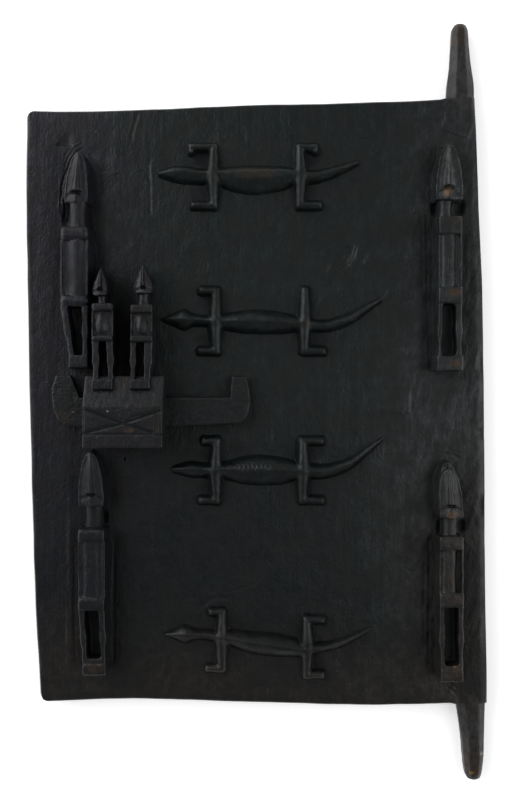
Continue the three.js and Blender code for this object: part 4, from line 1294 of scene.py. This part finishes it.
def wood(name, tone, wear_shade_and_highlight_spots, grain_scale, strokes_scale, turn, sheen, crease_shade_and_grime):
    """Hand-cut wood under a near-black patina, with painted shade in creases and round reliefs and lighter
    wear with painted highlights on rubbed edges. The scales are bumps per metre along the axes; the
    strokes are turned from them, and crease_shade_and_grime is how dark the painted shade in creases
    and the grime in cut lines are."""
    shader = Shader(name)
    fibres = shader.grain(grain_scale, 4.0, 0.6)
    strokes = shader.grain(strokes_scale, 3.0, 0.6, turn)
    mottle = shader.grain((34, 26, 34), 4.0, 0.62)
    patches = shader.grain((9, 6, 9), 2.0, 0.5)
    blotches = shader.grain((130, 100, 130), 4.0, 0.65)

    colour = tone(shader, patches)
    shade = shader.remap(mottle, 0.34, 0.68, 0.45, 1.60)
    shade = shader.math("MULTIPLY", shade, shader.remap(fibres, 0.30, 0.70, 0.84, 1.18))
    shade = shader.math("MULTIPLY", shade, shader.remap(blotches, 0.3, 0.7, 0.60, 1.46))
    colour = shader.blend(1.0, colour, shader.add("ShaderNodeCombineColor", {
        0: shade, 1: shade, 2: shade}).outputs[0], "MULTIPLY")
    warm = shader.remap(blotches, 0.58, 0.78, 0.0, 0.3)
    colour = shader.blend(warm, colour, UMBER)

    hollow = shader.attribute("hollow")
    arris = shader.attribute("arris")
    halo = shader.attribute("halo")
    # Painted shade round the reliefs, then in creases and corners, with grime in cut lines
    colour = shader.blend(shader.math("MULTIPLY", halo, 0.38), colour, SHADE_AND_GRIME)
    colour = shader.blend(shader.math("MULTIPLY", hollow, crease_shade_and_grime), colour, SHADE_AND_GRIME)
    # Lighter wear on the arrises, with painted highlights
    edge_wear_and_highlight = shader.math("MULTIPLY", arris, shader.remap(mottle, 0.36, 0.62, 0.15, 1.0))
    colour = shader.blend(shader.math("MULTIPLY", edge_wear_and_highlight, 0.7), colour, RUBBED_AND_HIGHLIGHT)
    # Extra roughness where shade is painted
    shade_roughness = 0.0
    for middle, radii, over, amount in wear_shade_and_highlight_spots.values():
        dark = over in ROUGHENING
        spot = shader.spot(middle, radii, 0.35, 0.4 if dark else 1.1)
        amount = shader.math("MULTIPLY", spot, amount)
        if dark:
            shade_roughness = shader.math("MAXIMUM", shader.math("MULTIPLY", amount, ROUGHENING[over]), shade_roughness)
        else:
            amount = shader.math("MULTIPLY", amount, shader.remap(blotches, 0.38, 0.6, 0.2, 1.0))
        colour = shader.blend(amount, colour, over)

    rough = shader.remap(mottle, 0.3, 0.7, sheen + 0.13, sheen - 0.08)
    rough = shader.math("SUBTRACT", rough, shader.math("MULTIPLY", edge_wear_and_highlight, 0.13))
    rough = shader.math("ADD", rough, shader.math("MULTIPLY", hollow, 0.3 * crease_shade_and_grime + 0.08))
    rough = shader.math("ADD", rough, shade_roughness)
    pores = shader.grain((420, 300, 420), 3.0, 0.6)
    relief = shader.math("ADD", shader.math("MULTIPLY", fibres, 0.45), shader.math("MULTIPLY", strokes, 0.4))
    relief = shader.math("ADD", relief, shader.math("MULTIPLY", pores, 0.6))
    relief = shader.math("ADD", relief, shader.math("MULTIPLY", blotches, 0.9))
    normal = shader.add("ShaderNodeBump", {"Height": relief, "Strength": 0.7, "Distance": 0.0010})
    shader.feed(shader.surface.inputs["Base Color"], colour)
    shader.feed(shader.surface.inputs["Roughness"], rough)
    shader.feed(shader.surface.inputs["Normal"], normal.outputs["Normal"])
    shader.surface.inputs["Specular IOR Level"].default_value = 0.29
    return shader.material


def leaf_tone(shader, patches):
    """Plum at the left, teal in the middle, slate at the right, umber along the bottom."""
    axes = shader.add("ShaderNodeSeparateXYZ", {0: shader.place}).outputs
    drift = shader.math("MULTIPLY", shader.math("SUBTRACT", patches, 0.5), 0.16)
    x = shader.math("ADD", axes["X"], drift)
    y = shader.math("ADD", axes["Y"], drift)
    colour = shader.blend(shader.remap(x, -0.12, -0.24), TEAL, PLUM)
    # Darker low down, from a little right of the middle to the left edge
    low = shader.math("MULTIPLY", shader.remap(y, 0.05, -0.15), shader.remap(x, 0.20, 0.05))
    colour = shader.blend(shader.math("MULTIPLY", low, 0.6), colour, SHADE_AND_GRIME)
    colour = shader.blend(shader.remap(x, 0.12, 0.25), colour, SLATE)
    colour = shader.blend(shader.remap(y, -0.22, -0.37, 0.0, 0.85), colour, UMBER)
    low_right = shader.math("MULTIPLY", shader.remap(y, 0.0, -0.2), shader.remap(x, 0.15, 0.25))
    return shader.blend(shader.math("MULTIPLY", low_right, 0.8), colour, UMBER)


def lock_tone(shader, patches):
    return shader.blend(shader.remap(patches, 0.4, 0.65), (0.0046, 0.0050, 0.0062), (0.0050, 0.0052, 0.0078))


def bolt_tone(shader, patches):
    return shader.blend(shader.remap(patches, 0.35, 0.65), (0.0040, 0.0054, 0.0060), CHARCOAL)


# Pieces

for piece, body, node, slot, material in (
    (make_leaf(), "door", "door_leaf", "leaf_wood",
     wood("leaf wood", leaf_tone, LEAF_WEAR_SHADE_AND_HIGHLIGHTS, (340, 22, 200), (150, 60, 120), -14, 0.39, 0.38)),
    (make_lock_case(), "door", "lock_case", "lock_wood",
     wood("lock wood", lock_tone, LOCK_WEAR, (340, 40, 200), (120, 300, 200), 15, 0.38, 1.0)),
    (make_bolt(), "bolt", "lock_bolt", "bolt_wood",
     wood("bolt wood", bolt_tone, BOLT_WEAR, (30, 380, 200), (60, 260, 200), 25, 0.37, 0.5)),
):
    finish_piece(piece, body, node, material, incised_lines if node == "lock_case" else None)


# Stage: a pale, faintly glowing table top that runs level far past the door

FLOOR_GLOW = 0.45


def make_floor():
    reach = 12.0
    corners = [(-reach, -reach, 0), (reach, -reach, 0), (reach, reach, 0), (-reach, reach, 0)]
    mesh = bpy.data.meshes.new("floor")
    mesh.from_pydata(corners, [], [(0, 1, 2, 3)])
    floor = add_object(mesh)
    material = bpy.data.materials.new("floor paper")
    material.use_nodes = True
    surface = material.node_tree.nodes["Principled BSDF"]
    surface.inputs["Base Color"].default_value = (0.96, 0.96, 0.96, 1)
    surface.inputs["Roughness"].default_value = 0.9
    surface.inputs["Specular IOR Level"].default_value = 0.1
    surface.inputs["Emission Color"].default_value = (1.0, 1.0, 1.0, 1.0)
    surface.inputs["Emission Strength"].default_value = FLOOR_GLOW
    mesh.materials.append(material)


def aim(thing, target):
    """Turns a lamp or camera to look at a place."""
    way = np.array(target) - np.array(thing.location)
    flat = math.hypot(way[0], way[1])
    thing.rotation_euler = (math.pi / 2 + math.atan2(way[2], flat), 0, math.atan2(way[1], way[0]) - math.pi / 2)


def softbox(name, place, size, power, colour=(1, 1, 1)):
    lamp = bpy.data.lights.new(name, "AREA")
    lamp.shape = "RECTANGLE"
    lamp.size, lamp.size_y = size
    lamp.energy = power
    lamp.color = colour
    box = bpy.data.objects.new(name, lamp)
    bpy.context.scene.collection.objects.link(box)
    box.location = place
    aim(box, (0, 0, 0))


# The studio's room: a dim ceiling all round, and glows low down. A glow has its middle's direction, the
# cosines from there at which it starts and is full, the heights at which it starts and is full, and
# its strength.
CEILING = 0.235
GLOWS = (
    ((-0.95, 0.3, 0), (0.05, 0.8), (0.9, 0.35), 0.75),
    ((-1, 0.1, 0), (0.3, 0.9), (0.4, 0.1), 0.9),
    ((1, 0, 0), (0.2, 0.9), (0.9, 0.35), 0.35),
    ((1, 0, 0), (0.3, 0.9), (0.4, 0.1), 0.9),
    ((0, 1, 0), (0.3, 0.9), (0.4, 0.05), 0.4),
    ((0, -1, 0), (0.3, 0.9), (0.4, 0.05), 0.5),
)


def make_world():
    """A dim room that is palest low down at the left, so that level faces stay dark."""
    world = bpy.data.worlds.new("studio")
    bpy.context.scene.world = world
    world.use_nodes = True
    tree = world.node_tree
    tree.nodes.clear()

    def node(kind, *values, **settings):
        made = tree.nodes.new(kind)
        for name, value in settings.items():
            setattr(made, name, value)
        for socket, value in zip(made.inputs, values):
            if isinstance(value, bpy.types.NodeSocket):
                tree.links.new(value, socket)
            else:
                socket.default_value = value
        return made.outputs

    place = node("ShaderNodeTexCoord")["Generated"]
    up = node("ShaderNodeSeparateXYZ", place)["Z"]
    total = CEILING
    for way, (side_start, side_full), (up_start, up_full), strength in GLOWS:
        side = node("ShaderNodeVectorMath", place, way, operation="DOT_PRODUCT")["Value"]
        side = node("ShaderNodeMapRange", side, side_start, side_full, 0.0, strength,
                    interpolation_type="SMOOTHSTEP")["Result"]
        low = node("ShaderNodeMapRange", up, up_start, up_full, 0.0, 1.0,
                   interpolation_type="SMOOTHSTEP")["Result"]
        total = node("ShaderNodeMath", side, low, total, operation="MULTIPLY_ADD")[0]
    background = node("ShaderNodeBackground", (1.0, 1.0, 1.0, 1.0), total)["Background"]
    node("ShaderNodeOutputWorld", background)


CAMERA_AT = (0.0021, 0.00192, PLANK * MM + 1.3)
SENSOR = 36.0
PICTURE_HEIGHT_AT_FACE = 0.96

make_floor()
make_world()
softbox("key light", (-2.4, 1.5, 2.1), (3.2, 3.2), 78, (0.98, 0.99, 1.0))
softbox("right light", (2.1, -0.1, 2.0), (1.0, 3.0), 24)

camera_data = bpy.data.cameras.new("camera")
camera_data.sensor_width = SENSOR
camera_data.lens = SENSOR * (CAMERA_AT[2] - PLANK * MM) / PICTURE_HEIGHT_AT_FACE
camera = bpy.data.objects.new("camera", camera_data)
bpy.context.scene.collection.objects.link(camera)
camera.location = CAMERA_AT
bpy.context.scene.camera = camera
bpy.context.scene.view_settings.view_transform = "Standard"
